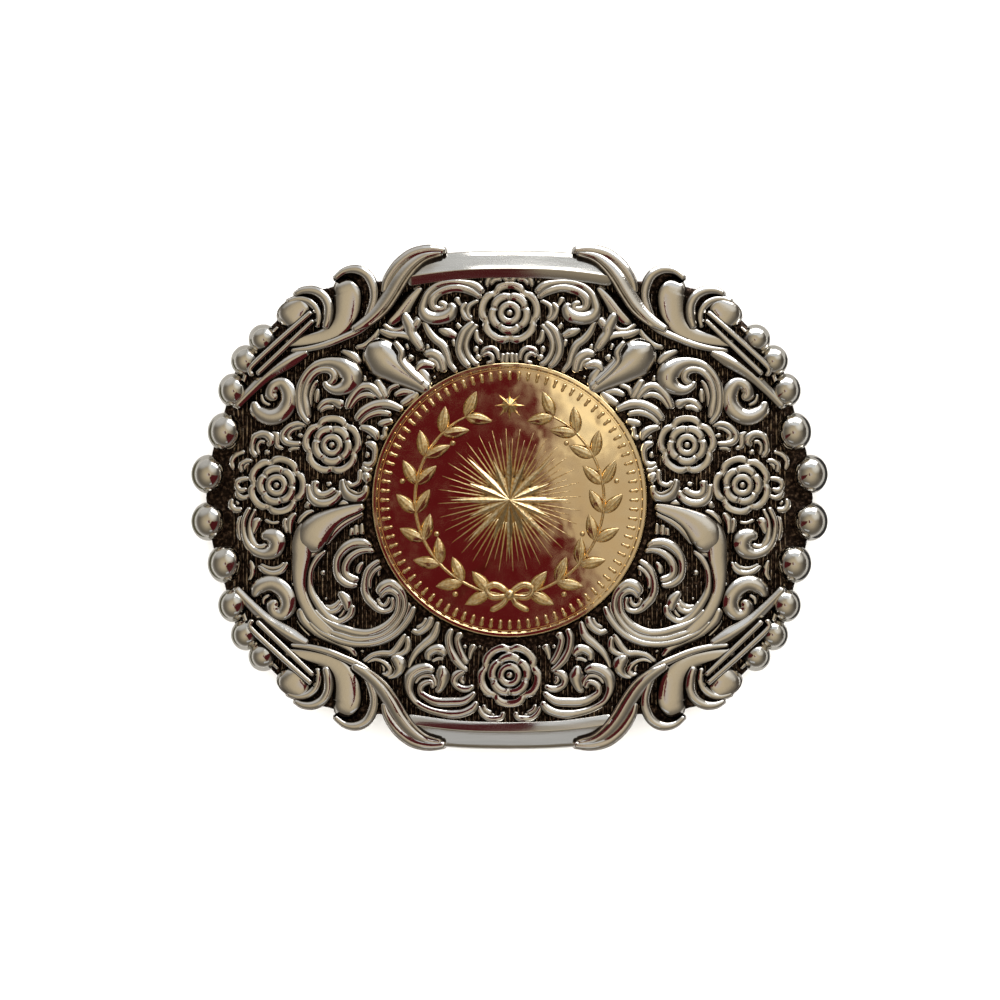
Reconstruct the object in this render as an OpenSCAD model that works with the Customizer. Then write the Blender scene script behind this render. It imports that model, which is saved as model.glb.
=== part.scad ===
// Western belt buckle: a bowed silver-tone casting with scrollwork, flowers and edge beads,
// a round gold medallion seated in its middle, and a plain belt loop and hook post behind it.
// The buckle lies on its back, face up, on the loop's bar and the tip of the post.

/* [Plate] */
// Width over the beads at both sides
buckle_w = 86; // [82:0.5:90]
// Thickness of the cast plate, without its relief
plate_t = 2.4; // [2.2:0.1:2.8]
// Radius of the bow from side to side
bow_r = 170; // [150:5:220]
// Height of the middle of the plate's face above the table
face_z = 13.6; // [13:0.1:15]

/* [Relief] */
// Height of the relief, as a share of the heights in the tables
relief = 1; // [0.8:0.05:1.2]
// Radius of the beads beside the corners
bead_r = 1.95; // [1.8:0.05:2.1]
// How much larger the middle beads are
bead_growth = 1.16; // [1:0.02:1.2]
// Sides of a bead
bead_sides = 12; // [10:2:16]
// Petals of a flower
petals = 5; // [5:1:6]

/* [Medallion] */
// Diameter of the medallion
coin_d = 36.9; // [36:0.1:37.4]
// Thickness at its rim
coin_t = 1.9; // [1.6:0.1:2.2]
// Width of the rim
rim_w = 0.6; // [0.4:0.1:0.8]
// How deep the field lies below the rim
rim_h = 0.35; // [0.2:0.05:0.5]
// How far the medallion is sunk into the middle of the plate
coin_sink = 0.6; // [0.4:0.1:0.8]
// Room all round the medallion and under it
fit_gap = 0.15; // [0.1:0.05:0.2]
// Rays of the star in its middle
star_rays = 8; // [6:1:10]

/* [Belt fittings] */
// Width of the belt
belt_w = 38; // [36:1:39]
// Room between the belt and the loop, both sides together
belt_room = 2; // [1:0.5:3]
// Thickness of the loop's wire
wire_d = 3; // [2.6:0.1:3.2]
// Distance of the loop's bar from the middle of the buckle
bar_x = 31; // [30:0.5:32]
// Distance of the loop's feet from the middle of the buckle
foot_x = 20; // [19:0.5:21]
// Thickness of the hook post
post_d = 4; // [3.6:0.1:4.2]
// Distance of the post's foot from the middle of the buckle
post_x = 26; // [24:0.5:27]
// Lean of the post away from the middle
post_lean = 22; // [15:1:28]
// Length of the flared root between the foot and the post's plain shaft
post_root = 2; // [1.5:0.1:2.5]
// Thickness of the feet of the loop and the post
foot_t = 1.2; // [1:0.1:1.4]

/* [Hidden] */

// The tables below are charted for a buckle 86 wide.
chart = buckle_w / 86;
coin_r = coin_d / 2;
coin_z = face_z - coin_sink;
seat_z = coin_z - fit_gap;
coin_top = coin_z + coin_t;
// Relief is rooted this deep in the plate.
root = 0.4;
// The corners and beads mirror about this height, which is the middle of the outline.
// The bars and the medallion mirror about 0 in the tables.
mid_y = 0.3;
boss_r = 4.2;
boss_t = 0.9;
// Bend of the loop's wire, along its middle
bend_r = 3;

function drop(x) = bow_r - sqrt(bow_r * bow_r - x * x);
function ground(x) = face_z - drop(x);
function back(x) = ground(x) - plate_t;

// Outline of the bare plate, upper left quarter, from the top to the side
plate_edge = [[0, 32.4], [-12, 31.7], [-17, 29.4], [-21, 30], [-24, 28.6], [-28, 27.6], [-31.6, 23.9],
    [-35.3, 20.3], [-37.3, 16.6], [-38.4, 12.2], [-40.1, 6.5], [-41, 0.3]];

// Beads, upper left quarter: x, y, size as a share of bead_r, length as a share of its width
beads = [[-33.2, 21.7, 1, 1], [-35.6, 18.8, 1, 1.05], [-37.3, 14.8, 1.02, 1.12],
    [-38.45, 9.2, bead_growth, 1.12], [-40.7, 3.5, bead_growth, 1.12]];
// Ground that fills the two lobes of a corner: x, y, radius
lobe_floors = [[-21.1, 28.4, 2.5], [-27.8, 25.6, 2.3]];

// Flowers, left half: x, y, radius
flowers = [[-23.9, 7.4, 4], [-31.6, 2.1, 3.9]];
// Flowers on the middle line
mid_flowers = [[0, 25.1, 4.2], [0, -23.5, 4.3]];
// Section of a flower from its edge inwards: share of the radius, height, depth of the scallops
flower_rings = [[1, -0.4, 0.06], [0.9, 1.5, 0.06], [0.74, 1.5, 0.04], [0.67, 0.5, 0.03],
    [0.58, 1.7, 0.02], [0.4, 1.6, 0], [0.33, 0.8, 0], [0.24, 1.9, 0]];
flower_top = 2;

// Strands of the relief. Each row has its width at the root, at its widest and at the tip,
// where along it the widest place lies (0 to 1), its height, and its route.
root_w = 0; belly_w = 1; tip_w = 2; belly_at = 3; height = 4; route = 5;

// Half-round bar and inner moulding at the top and the bottom, whole
bars = [
    [2.7, 2.3, 2.7, 0.5, 2.3, [[-13.4, 31.1], [-7, 31.9], [0, 32.15], [7, 31.9], [13.4, 31.1]]],
    [1, 0.9, 1, 0.5, 1.6, [[-13.2, 29.6], [-7, 30.4], [0, 30.7], [7, 30.4], [13.2, 29.6]]],
];

// Corner scrolls, upper left quarter
corner = [
    // ribbon that wraps the end of the bar, and its lower lip
    [1, 2.4, 0.5, 0.62, 3, [[-9.3, 33.3], [-11.7, 32.7], [-13.6, 31], [-15.5, 28.4], [-17.6, 26],
        [-20.2, 23.9], [-23.2, 22.5], [-26.6, 21.6], [-30.1, 21]]],
    [0.5, 0.8, 0.4, 0.5, 1.9, [[-17.6, 24.1], [-20.2, 22.3], [-23, 21], [-26, 20.3], [-28.6, 20.1]]],
    // outer strand beside the ribbon
    [0.8, 0.9, 0.5, 0.4, 2.8, [[-8.8, 33.5], [-10.9, 33.6], [-13, 33.2], [-14.9, 31.9], [-16.2, 29.9],
        [-17, 27.8]]],
    // first lobe: outer band, inner rim and the tongue inside
    [1, 1.4, 0.8, 0.4, 2.6, [[-18.8, 24.4], [-18, 26.4], [-18.1, 28.6], [-19.2, 30.4], [-21.1, 31.1],
        [-22.9, 30.6], [-23.8, 29.3]]],
    [0.8, 0.9, 0.6, 0.5, 2.3, [[-22.3, 23.5], [-20.9, 25.4], [-20.3, 27.6], [-20.8, 29.2], [-22.2, 29.9]]],
    [1.6, 2.9, 1.6, 0.4, 1.8, [[-22.3, 29.4], [-22.3, 27.6], [-22.6, 25.4], [-23.4, 23.4]]],
    // second lobe: outer band, inner band and the bulb at its end
    [0.9, 1.4, 0.8, 0.5, 2.6, [[-24.3, 23.1], [-24.1, 24.8], [-24.3, 26.6], [-25.3, 27.9], [-27, 28.3],
        [-28.8, 27.8], [-30.2, 26.8]]],
    [0.9, 1, 0.7, 0.4, 2.3, [[-25.7, 23.3], [-26, 24.8], [-26.7, 26.1], [-28, 26.6], [-29, 26.4]]],
    [1.6, 3.2, 2, 0.5, 2.3, [[-28.1, 25.7], [-29.4, 25.2], [-30.5, 24.1]]],
    // rod and blade
    [1, 1.2, 0.7, 0.3, 2.8, [[-27.1, 25], [-29.8, 23], [-32.5, 20.6], [-34.4, 18.3], [-34.6, 16.8]]],
    [0.5, 2.2, 1, 0.42, 2.5, [[-27, 20.1], [-29.6, 19], [-32.4, 17.1], [-34.7, 14.8], [-36.8, 12.3]]],
];

// Scrolls of the field, left half, from the top down
field = [
    // beside the top flower
    [0.7, 1.6, 1, 0.7, 1.9, [[-3.6, 28.2], [-5.2, 29.1], [-7.4, 29.4], [-9.6, 28.8], [-11.1, 27.3],
        [-11.3, 25.5], [-10.3, 24.2], [-8.9, 24.1], [-7.9, 25.2]]],
    [0.7, 0.9, 0.7, 0.6, 1.6, [[-4, 27.3], [-5.6, 28.1], [-7.6, 28.3], [-9.4, 27.7], [-10.2, 26.4]]],
    [0.6, 1, 0.7, 0.5, 1.6, [[-4.7, 23.7], [-6.1, 22.3], [-6.7, 20.4], [-6.3, 18.4]]],
    [0.6, 1.1, 0.6, 0.35, 1.6, [[-11.6, 23.8], [-10.7, 22.4], [-9.4, 21.1], [-8.3, 19.8], [-7, 17.4]]],
    [0.6, 1.5, 0.7, 0.45, 1.8, [[-14.2, 24.9], [-13.3, 23.5], [-12.5, 21.6], [-11.7, 20.3]]],
    // horn-shaped bud
    [3, 3.9, 0.9, 0.22, 2.3, [[-17.6, 20.4], [-16.6, 18.3], [-14.8, 17.1], [-12.8, 16], [-11.3, 15.2]]],
    // large volute over the inner flower
    [0.7, 2.3, 1.2, 0.72, 2.2, [[-26.9, 10.7], [-28, 12.6], [-28.4, 14.9], [-27.6, 17.1], [-25.8, 18.5],
        [-23.6, 18.7], [-21.7, 17.7], [-21.1, 16], [-22.2, 14.9], [-23.7, 14.9]]],
    [0.7, 1, 0.6, 0.5, 1.8, [[-27, 11.2], [-27.3, 13.6], [-26.4, 16.3], [-24.4, 17.2]]],
    // round volute by the upper blade
    [0.8, 2, 1, 0.55, 2, [[-34.4, 13], [-33.7, 11.9], [-32.2, 11.4], [-30.6, 12.1], [-29.9, 13.7],
        [-30.4, 15.2], [-31.6, 15.5], [-32.2, 14.5]]],
    // leaves round the inner flower
    [0.6, 1.1, 0.7, 0.5, 1.7, [[-22, 12.6], [-21.2, 14.2], [-19.6, 15.2], [-17.3, 14]]],
    [0.5, 1.1, 0.8, 0.6, 1.7, [[-20.7, 10.9], [-19.5, 12.3], [-17.4, 13], [-14.2, 12.1]]],
    [0.6, 1, 0.7, 0.6, 1.5, [[-20, 9.8], [-18.7, 10], [-17.9, 8.8]]],
    [0.6, 1.2, 0.9, 0.6, 1.7, [[-22.8, 2.6], [-22.1, 1.2], [-20.6, 0.8], [-19.1, 2.6]]],
    [0.6, 1.1, 0.7, 0.5, 1.7, [[-27.1, 2.3], [-26.6, 0.4], [-24.9, -0.1], [-22.9, 1.5]]],
    [0.6, 1, 0.6, 0.5, 1.5, [[-27.6, 10.2], [-29.7, 10], [-30.4, 8.4], [-28.8, 7.5]]],
    [0.6, 0.9, 0.8, 0.5, 1.6, [[-34.1, 5.9], [-34.8, 7.3], [-34, 8.9], [-32.2, 8.5]]],
    // scroll below the outer flower
    [0.7, 1.8, 1.3, 0.68, 2.1, [[-34.8, -0.9], [-35.6, -2.9], [-35.5, -5.1], [-34.3, -6.8], [-32.4, -7],
        [-31.2, -5.9], [-31.6, -4.7], [-32.8, -4.6]]],
    [0.6, 0.9, 0.6, 0.5, 1.4, [[-33.8, -8.7], [-32.6, -9.7], [-31, -9.6], [-30.1, -8.4]]],
    // round volute by the lower blade
    [0.8, 2, 1, 0.5, 2, [[-34.6, -12.8], [-33.9, -11.5], [-32.3, -11.2], [-30.7, -11.9], [-29.9, -13.5],
        [-30.4, -15.1], [-31.6, -15.3], [-32.2, -14.2]]],
    // large leaf scroll beside the medallion, in two strands and their lips
    [0.8, 3, 1.2, 0.28, 2.3, [[-18, -0.7], [-22.2, -1.6], [-25.2, -2.9], [-27.4, -5.1], [-28.6, -8.2],
        [-28.6, -11.6], [-27.2, -14.8], [-24.8, -17.2]]],
    [0.5, 1, 0.7, 0.5, 1.9, [[-25.2, -6.9], [-26.6, -8.3], [-27.1, -10.6], [-26.2, -13.7], [-23.8, -16.3]]],
    [0.9, 1.8, 1, 0.3, 2.2, [[-24.6, -16.7], [-21.8, -17.9], [-18.8, -17.8], [-16.2, -16.4],
        [-14.7, -14.1], [-15, -11.9], [-16.5, -11], [-17.6, -11.8]]],
    [0.6, 0.9, 0.6, 0.5, 1.8, [[-24.6, -18.1], [-21.6, -19.1], [-18.2, -18.9], [-15.2, -17.5], [-12.7, -14.4]]],
    [0.8, 1.1, 0.7, 0.4, 1.8, [[-16.9, -8.5], [-18.7, -9.6], [-19.5, -11.6], [-18.9, -13.6], [-17.2, -14.4],
        [-16.1, -13.3]]],
    [0.7, 1.3, 0.9, 0.5, 1.9, [[-18, -6.2], [-20.5, -5.9], [-22.2, -7], [-22.9, -8.9], [-22.2, -10.7],
        [-20.6, -11]]],
    [0.6, 1.1, 0.7, 0.5, 1.6, [[-25.4, -15.3], [-24, -15.8], [-22.2, -15.2], [-21.5, -13.3]]],
    [0.9, 1.2, 0.6, 0.3, 1.7, [[-28.2, -15], [-26.8, -17], [-24.4, -18.7], [-20.6, -20.9]]],
    // between the leaf scroll and the bottom scroll
    [0.6, 0.9, 0.6, 0.5, 1.5, [[-19.6, -21.9], [-17.3, -20.7], [-15.1, -19.6], [-14.1, -18]]],
    [1.1, 1.6, 0.7, 0.4, 1.8, [[-15.4, -20.9], [-14.7, -22.2], [-16.2, -23.6]]],
    [0.6, 0.9, 0.6, 0.4, 1.5, [[-9.7, -15.6], [-10.3, -18.4], [-12.4, -20.4], [-13.3, -22.4]]],
    [0.6, 1, 0.6, 0.5, 1.6, [[-7.9, -17], [-8.1, -19.4], [-5.8, -22.9]]],
    // beside the bottom flower
    [0.7, 1.7, 0.9, 0.7, 2, [[-4.4, -27.2], [-6.2, -28.4], [-8.6, -28.8], [-11.2, -28.3], [-13, -26.8],
        [-13.4, -24.8], [-12.5, -23.1], [-10.8, -22.7], [-9.3, -23.3], [-8.9, -24.6]]],
    [0.7, 1.2, 0.7, 0.35, 1.7, [[-4.9, -26.1], [-7.4, -26.9], [-10.4, -26.6], [-11.7, -25]]],
    [0.9, 1, 0.9, 0.5, 1.6, [[-6.4, -23.3], [-7.6, -24], [-7.1, -25.1], [-5.6, -25.3]]],
];

// Section of a narrow strand and of a wide one: place across it, height
narrow = [[-1, 0], [0, 1], [1, 0]];
wide = [[-1, 0], [-0.62, 0.8], [0, 1], [0.62, 0.8], [1, 0]];
wide_from = 1.5;

// Laurel on the medallion: leaf pairs of a branch, radius of the branch, first and last angle from below
laurel_pairs = 9;
laurel_r = 12.7;
laurel_from = 12;
laurel_to = 152;
leaf_l = 3.7;
leaf_w = 1.7;
leaf_h = 0.6;
// Star on the medallion: radius of its long rays, short rays and waists, and its height
star_long = 8;
star_short = 5.8;
star_waist = 3;
star_h = 0.9;
// Small star between the tips of the branches
top_star_r = 2;

// Point on a smooth curve through the points of p, t counting them from 0
function along(p, t) =
    let (n = len(p) - 1, i = min(floor(t), n - 1), f = t - i, a = p[i], b = p[i + 1],
         z = i > 0 ? p[i - 1] : 2 * a - b, c = i + 2 <= n ? p[i + 2] : 2 * b - a)
    0.5 * (2 * a + (b - z) * f + (2 * z - 5 * a + 4 * b - c) * f * f + (3 * a - z - 3 * b + c) * f * f * f);

function across(p, t) =
    let (n = len(p) - 1, d = along(p, min(n, t + 0.02)) - along(p, max(0, t - 0.02)))
    [-d.y, d.x] / norm(d);

function strand_w(r, s) = s < r[belly_at]
    ? r[root_w] + (r[belly_w] - r[root_w]) * sin(90 * s / r[belly_at])
    : r[belly_w] + (r[tip_w] - r[belly_w]) * (1 - cos(90 * (s - r[belly_at]) / (1 - r[belly_at])));

// Height rises over the first tenth and falls over the last
function strand_h(r, s) = relief * r[height] * min(1, 0.55 + 4.5 * s, 0.55 + 4.5 * (1 - s));

// One strand of the relief, lofted along its route on the bowed face
module strand(r) {
    gaps = len(r[route]) - 1;
    steps = max(3, round(gaps * 1.35));
    section = r[belly_w] >= wide_from ? wide : narrow;
    m = len(section);
    points = [for (i = [0:steps]) let (s = i / steps, p = along(r[route], s * gaps) * chart,
            q = across(r[route], s * gaps) * strand_w(r, s) / 2 * chart)
        for (c = section) let (x = p.x + q.x * c[0], y = p.y + q.y * c[0])
            [x, y, ground(x) + (c[1] == 0 ? -root : strand_h(r, s) * c[1])]];
    sides = [for (i = [0:steps - 1], j = [0:m - 1]) let (a = i * m + j, b = i * m + (j + 1) % m)
        each [[a, b, a + m], [b, b + m, a + m]]];
    ends = [[for (j = [m - 1:-1:0]) j], [for (j = [0:m - 1]) steps * m + j]];
    polyhedron(points, concat(sides, ends));
}

// Flower: scalloped rings one inside the other, with a button in the middle
module flower(f) {
    n = petals * 3;
    rings = len(flower_rings);
    points = concat(
        [for (g = flower_rings, i = [0:n - 1]) let (a = 360 * i / n, r = f[2] * chart * g[0] * (1 + g[2] * cos(petals * a)),
                x = f.x * chart + r * cos(a), y = f.y * chart + r * sin(a))
            [x, y, ground(x) + (g[1] < 0 ? g[1] : g[1] * relief)]],
        [[f.x * chart, f.y * chart, ground(f.x * chart) + flower_top * relief]]);
    sides = [for (k = [0:rings - 2], i = [0:n - 1]) let (a = k * n + i, b = k * n + (i + 1) % n)
        each [[a, a + n, b], [b, a + n, b + n]]];
    middle = [for (i = [0:n - 1]) [(rings - 1) * n + i, rings * n, (rings - 1) * n + (i + 1) % n]];
    floor = [[for (i = [0:n - 1]) i]];
    polyhedron(points, concat(sides, middle, floor));
}

module bead(b) {
    r = b[2] * bead_r * chart;
    x = b.x * chart;
    translate([x, b.y * chart, ground(x) + 0.25 * r]) scale([1, b[3], 1]) sphere(r, $fn = bead_sides);
}

module strand_shadow(r) {
    gaps = len(r[route]) - 1;
    steps = gaps * 2;
    left = [for (i = [0:steps]) let (s = i / steps, t = s * gaps) (along(r[route], t)
        + across(r[route], t) * strand_w(r, s) * 0.46) * chart];
    right = [for (i = [steps:-1:0]) let (s = i / steps, t = s * gaps) (along(r[route], t)
        - across(r[route], t) * strand_w(r, s) * 0.46) * chart];
    polygon(concat(left, right));
}

// Puts the middle of the outline over the origin
module centred() { translate([0, -mid_y * chart, 0]) children(); }

module both_sides() { children(); mirror([1, 0, 0]) children(); }

// Upper left quarter to all four, the lower ones about mid_y
module four_quarters() {
    both_sides() { children(); translate([0, 2 * mid_y * chart, 0]) mirror([0, 1, 0]) children(); }
}

module plate_outline() {
    n = len(plate_edge) - 1;
    four_quarters() {
        polygon(concat([[0.1, 0], [0.1, plate_edge[0].y * chart]],
            [for (i = [0:2 * n]) along(plate_edge, i / 2) * chart], [[plate_edge[n].x * chart, 0]]));
        for (b = beads) translate([b.x, b.y] * chart) circle(b[2] * bead_r * chart * 0.86, $fn = bead_sides * 2);
        for (f = lobe_floors) translate([f.x, f.y] * chart) circle(f[2] * chart, $fn = 32);
        for (i = [0, 2, 3, 6, 8]) strand_shadow(corner[i]);
    }
    both_sides() { strand_shadow(bars[0]); mirror([0, 1]) strand_shadow(bars[0]); }
}

// Bowed slab between the face and the back of the plate
module bowed_slab() {
    translate([0, 0, face_z - bow_r]) rotate([90, 0, 0]) difference() {
        cylinder(h = 80, r = bow_r, center = true, $fn = 240);
        cylinder(h = 90, r = bow_r - plate_t, center = true, $fn = 240);
    }
}

// Flat boss on the back that a foot is soldered to, rounded where it meets the plate
module boss(x, y) {
    hull() {
        translate([x, y, back(x) - boss_t]) cylinder(h = 0.1, r = boss_r, $fn = 32);
        translate([x, y, back(x) + 1.4]) cylinder(h = 0.1, r = boss_r + 0.8, $fn = 32);
    }
}

function foot_y() = (belt_w + belt_room + wire_d) / 2;

module casting() color("silver") difference() {
    union() {
        intersection() {
            linear_extrude(height = face_z + 5) plate_outline();
            bowed_slab();
        }
        translate([0, 0, face_z - 1.2]) cylinder(h = 1.2, r = coin_r + 0.9, $fn = 72);
        for (s = [-1, 1]) boss(-foot_x, s * foot_y());
        boss(post_x, 0);
        for (r = bars) { strand(r); mirror([0, 1, 0]) strand(r); }
        four_quarters() for (r = corner) strand(r);
        both_sides() for (r = field) strand(r);
        both_sides() for (f = flowers) flower(f);
        for (f = mid_flowers) flower(f);
        four_quarters() for (b = beads) bead(b);
    }
    translate([0, 0, seat_z]) cylinder(h = 10, r = coin_r + fit_gap, $fn = 72);
}

// Faceted star with long and short rays
module star(long, short, waist, h) {
    n = star_rays * 4;
    points = concat([for (i = [0:n - 1]) let (r = i % 4 == 0 ? long : i % 4 == 2 ? short : waist, a = 90 + 360 * i / n)
        [r * cos(a), r * sin(a), -0.2]], [[0, 0, h], [0, 0, -0.2]]);
    polyhedron(points, concat([for (i = [0:n - 1]) [i, n, (i + 1) % n]], [for (i = [0:n - 1]) [(i + 1) % n, n + 1, i]]));
}

// Leaf with a raised midrib, its root at the origin and its tip along +Y
module leaf() {
    points = [[0, 0, -0.2], [-leaf_w / 2, leaf_l * 0.45, -0.2], [0, leaf_l, -0.2], [leaf_w / 2, leaf_l * 0.45, -0.2],
        [0, leaf_l * 0.45, leaf_h]];
    polyhedron(points, [[0, 1, 4], [1, 2, 4], [2, 3, 4], [3, 0, 4], [3, 2, 1, 0]]);
}

module laurel_branch() {
    for (i = [0:laurel_pairs - 1]) let (a = laurel_from + (laurel_to - laurel_from) * i / (laurel_pairs - 1))
        rotate(-90 - a) translate([laurel_r, 0, 0]) for (lean = [-38, 38]) rotate(180 + lean) leaf();
}

module coin() color("goldenrod") {
    field_z = coin_top - rim_h;
    translate([0, 0, coin_z]) difference() {
        cylinder(h = coin_t, r = coin_r, $fn = 96);
        translate([0, 0, coin_t - rim_h]) cylinder(h = 1, r1 = coin_r - rim_w, r2 = coin_r - rim_w + 0.5, $fn = 96);
    }
    translate([0, 0, field_z]) {
        star(star_long, star_short, star_waist, star_h);
        translate([0, laurel_r, 0]) star(top_star_r, top_star_r * 0.5, top_star_r * 0.5, leaf_h);
        both_sides() laurel_branch();
    }
}

// Wire loop: two feet, two slanted arms, two bends and the bar that the belt is folded round
module belt_loop() color("darkgray") mirror([1, 0, 0]) {
    top_z = back(foot_x) - boss_t - fit_gap;
    r = wire_d / 2;
    rise = top_z - 2 * r;
    run = bar_x - foot_x;
    arm = norm([run, rise]);
    for (s = [-1, 1]) translate([foot_x, s * foot_y(), top_z - foot_t])
        cylinder(h = foot_t, r = boss_r - 0.6, $fn = 64);
    translate([foot_x, 0, top_z - r]) rotate([0, atan2(rise, run), 0]) {
        for (s = [0, 1]) mirror([0, s, 0]) {
            translate([0, foot_y(), 0]) rotate([0, 90, 0]) cylinder(h = arm - bend_r, r = r, $fn = 64);
            translate([arm - bend_r, foot_y() - bend_r, 0])
                rotate_extrude(angle = 90, $fn = 96) translate([bend_r, 0]) circle(r, $fn = 64);
        }
        translate([arm, 0, 0]) rotate([90, 0, 0])
            cylinder(h = 2 * (foot_y() - bend_r), r = r, center = true, $fn = 64);
    }
}

// Plain round post on a flared root, with a round tip, leaning away from the middle
module hook_post() color("darkgray") {
    top_z = back(post_x) - boss_t - fit_gap;
    r = post_d / 2;
    reach = (top_z - foot_t - r) / cos(post_lean);
    translate([post_x, 0, top_z - foot_t]) {
        cylinder(h = foot_t, r = boss_r - 0.4, $fn = 48);
        intersection() {
            rotate([0, 180 - post_lean, 0]) {
                translate([0, 0, -1.5]) cylinder(h = 1.5 + post_root, r1 = r + 1.1, r2 = r, $fn = 48);
                translate([0, 0, post_root]) cylinder(h = reach - post_root, r = r, $fn = 48);
                translate([0, 0, reach]) sphere(r, $fn = 48);
            }
            translate([0, 0, -top_z]) cylinder(h = top_z + foot_t - 0.1, r = 15, $fn = 48);
        }
    }
}

centred() casting();
centred() coin();
centred() belt_loop();
centred() hook_post();
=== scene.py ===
import math
import random

import bmesh
import bpy
import numpy as np
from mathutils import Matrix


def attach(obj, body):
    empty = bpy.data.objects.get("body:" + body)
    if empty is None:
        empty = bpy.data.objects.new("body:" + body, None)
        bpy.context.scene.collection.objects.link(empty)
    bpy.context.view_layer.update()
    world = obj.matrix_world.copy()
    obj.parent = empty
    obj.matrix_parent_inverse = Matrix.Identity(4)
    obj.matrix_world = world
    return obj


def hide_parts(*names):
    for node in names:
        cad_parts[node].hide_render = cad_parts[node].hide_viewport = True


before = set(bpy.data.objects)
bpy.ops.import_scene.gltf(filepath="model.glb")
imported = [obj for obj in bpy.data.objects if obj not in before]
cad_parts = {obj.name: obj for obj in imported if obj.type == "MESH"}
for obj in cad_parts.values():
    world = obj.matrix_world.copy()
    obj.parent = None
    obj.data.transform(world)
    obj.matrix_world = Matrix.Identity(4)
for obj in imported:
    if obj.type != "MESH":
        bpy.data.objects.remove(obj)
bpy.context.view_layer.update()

# Camera and view: straight down on the face of the buckle, as in the photograph, from far enough
# off that the beads at the edge show no side. All tables in this file are in millimetres.
MM = 0.001
PICTURE_W = 134.5                     # width of the photograph's frame at the face
PICTURE_X = -1.28                     # its middle lies this far to the right of the medallion's
FACE_Z = 13.6                         # height of the middle of the plate's face above the table
MID_Y = 0.3                           # the outline's middle lies this far over the medallion's
CAMERA_Z = 780.0
SENSOR_W = 36.0
camera_data = bpy.data.cameras.new("camera")
camera_data.sensor_width = SENSOR_W
camera_data.lens = SENSOR_W * (CAMERA_Z - FACE_Z) / PICTURE_W
camera_data.clip_start, camera_data.clip_end = 0.01, 10.0
camera = bpy.data.objects.new("camera", camera_data)
camera.location = (PICTURE_X * MM, -MID_Y * MM, CAMERA_Z * MM)
bpy.context.collection.objects.link(camera)
bpy.context.scene.camera = camera
bpy.context.scene.view_settings.view_transform = "Standard"


# Cast plate: one zinc casting, bowed from side to side, nickel plated, then blackened and rubbed
# bright again on what stands proud. This is the bare plate under the relief: its face, its edge
# with the notches between the beads, its plain back, the seat of the medallion and three bosses.
BOW_R = 170.0
PLATE_T = 2.4
BEAD_R = 1.95
BEAD_GROWTH = 1.16                    # how much larger the middle beads are
COIN_R = 18.45
COIN_Z = 13.0                         # height of the medallion's underside over the table
FIT_GAP = 0.15                        # room under the medallion and round it
SEAT_WALL = 0.9
ROOT = 0.4                            # how far the relief reaches down into the plate
# x, y of the bare plate's outline, upper left quarter, from the top to the side
PLATE_EDGE = [(0, 32.4), (-12, 31.7), (-17, 29.4), (-21, 30), (-24, 28.6), (-28, 27.6), (-31.6, 23.9),
              (-35.3, 20.3), (-37.3, 16.6), (-38.4, 12.2), (-40.1, 6.5), (-41, 0.3)]
# x, y, size as a share of BEAD_R, length as a share of the width
BEADS = [(-33.2, 21.7, 1, 1), (-35.6, 18.8, 1, 1.05), (-37.3, 14.8, 1.02, 1.12),
         (-38.45, 9.2, BEAD_GROWTH, 1.12), (-40.7, 3.5, BEAD_GROWTH, 1.12)]
# x, y, radius of the plate under the corner's lobes
LOBE_FLOORS = [(-21.1, 28.4, 2.5), (-27.8, 25.6, 2.3)]
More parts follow.
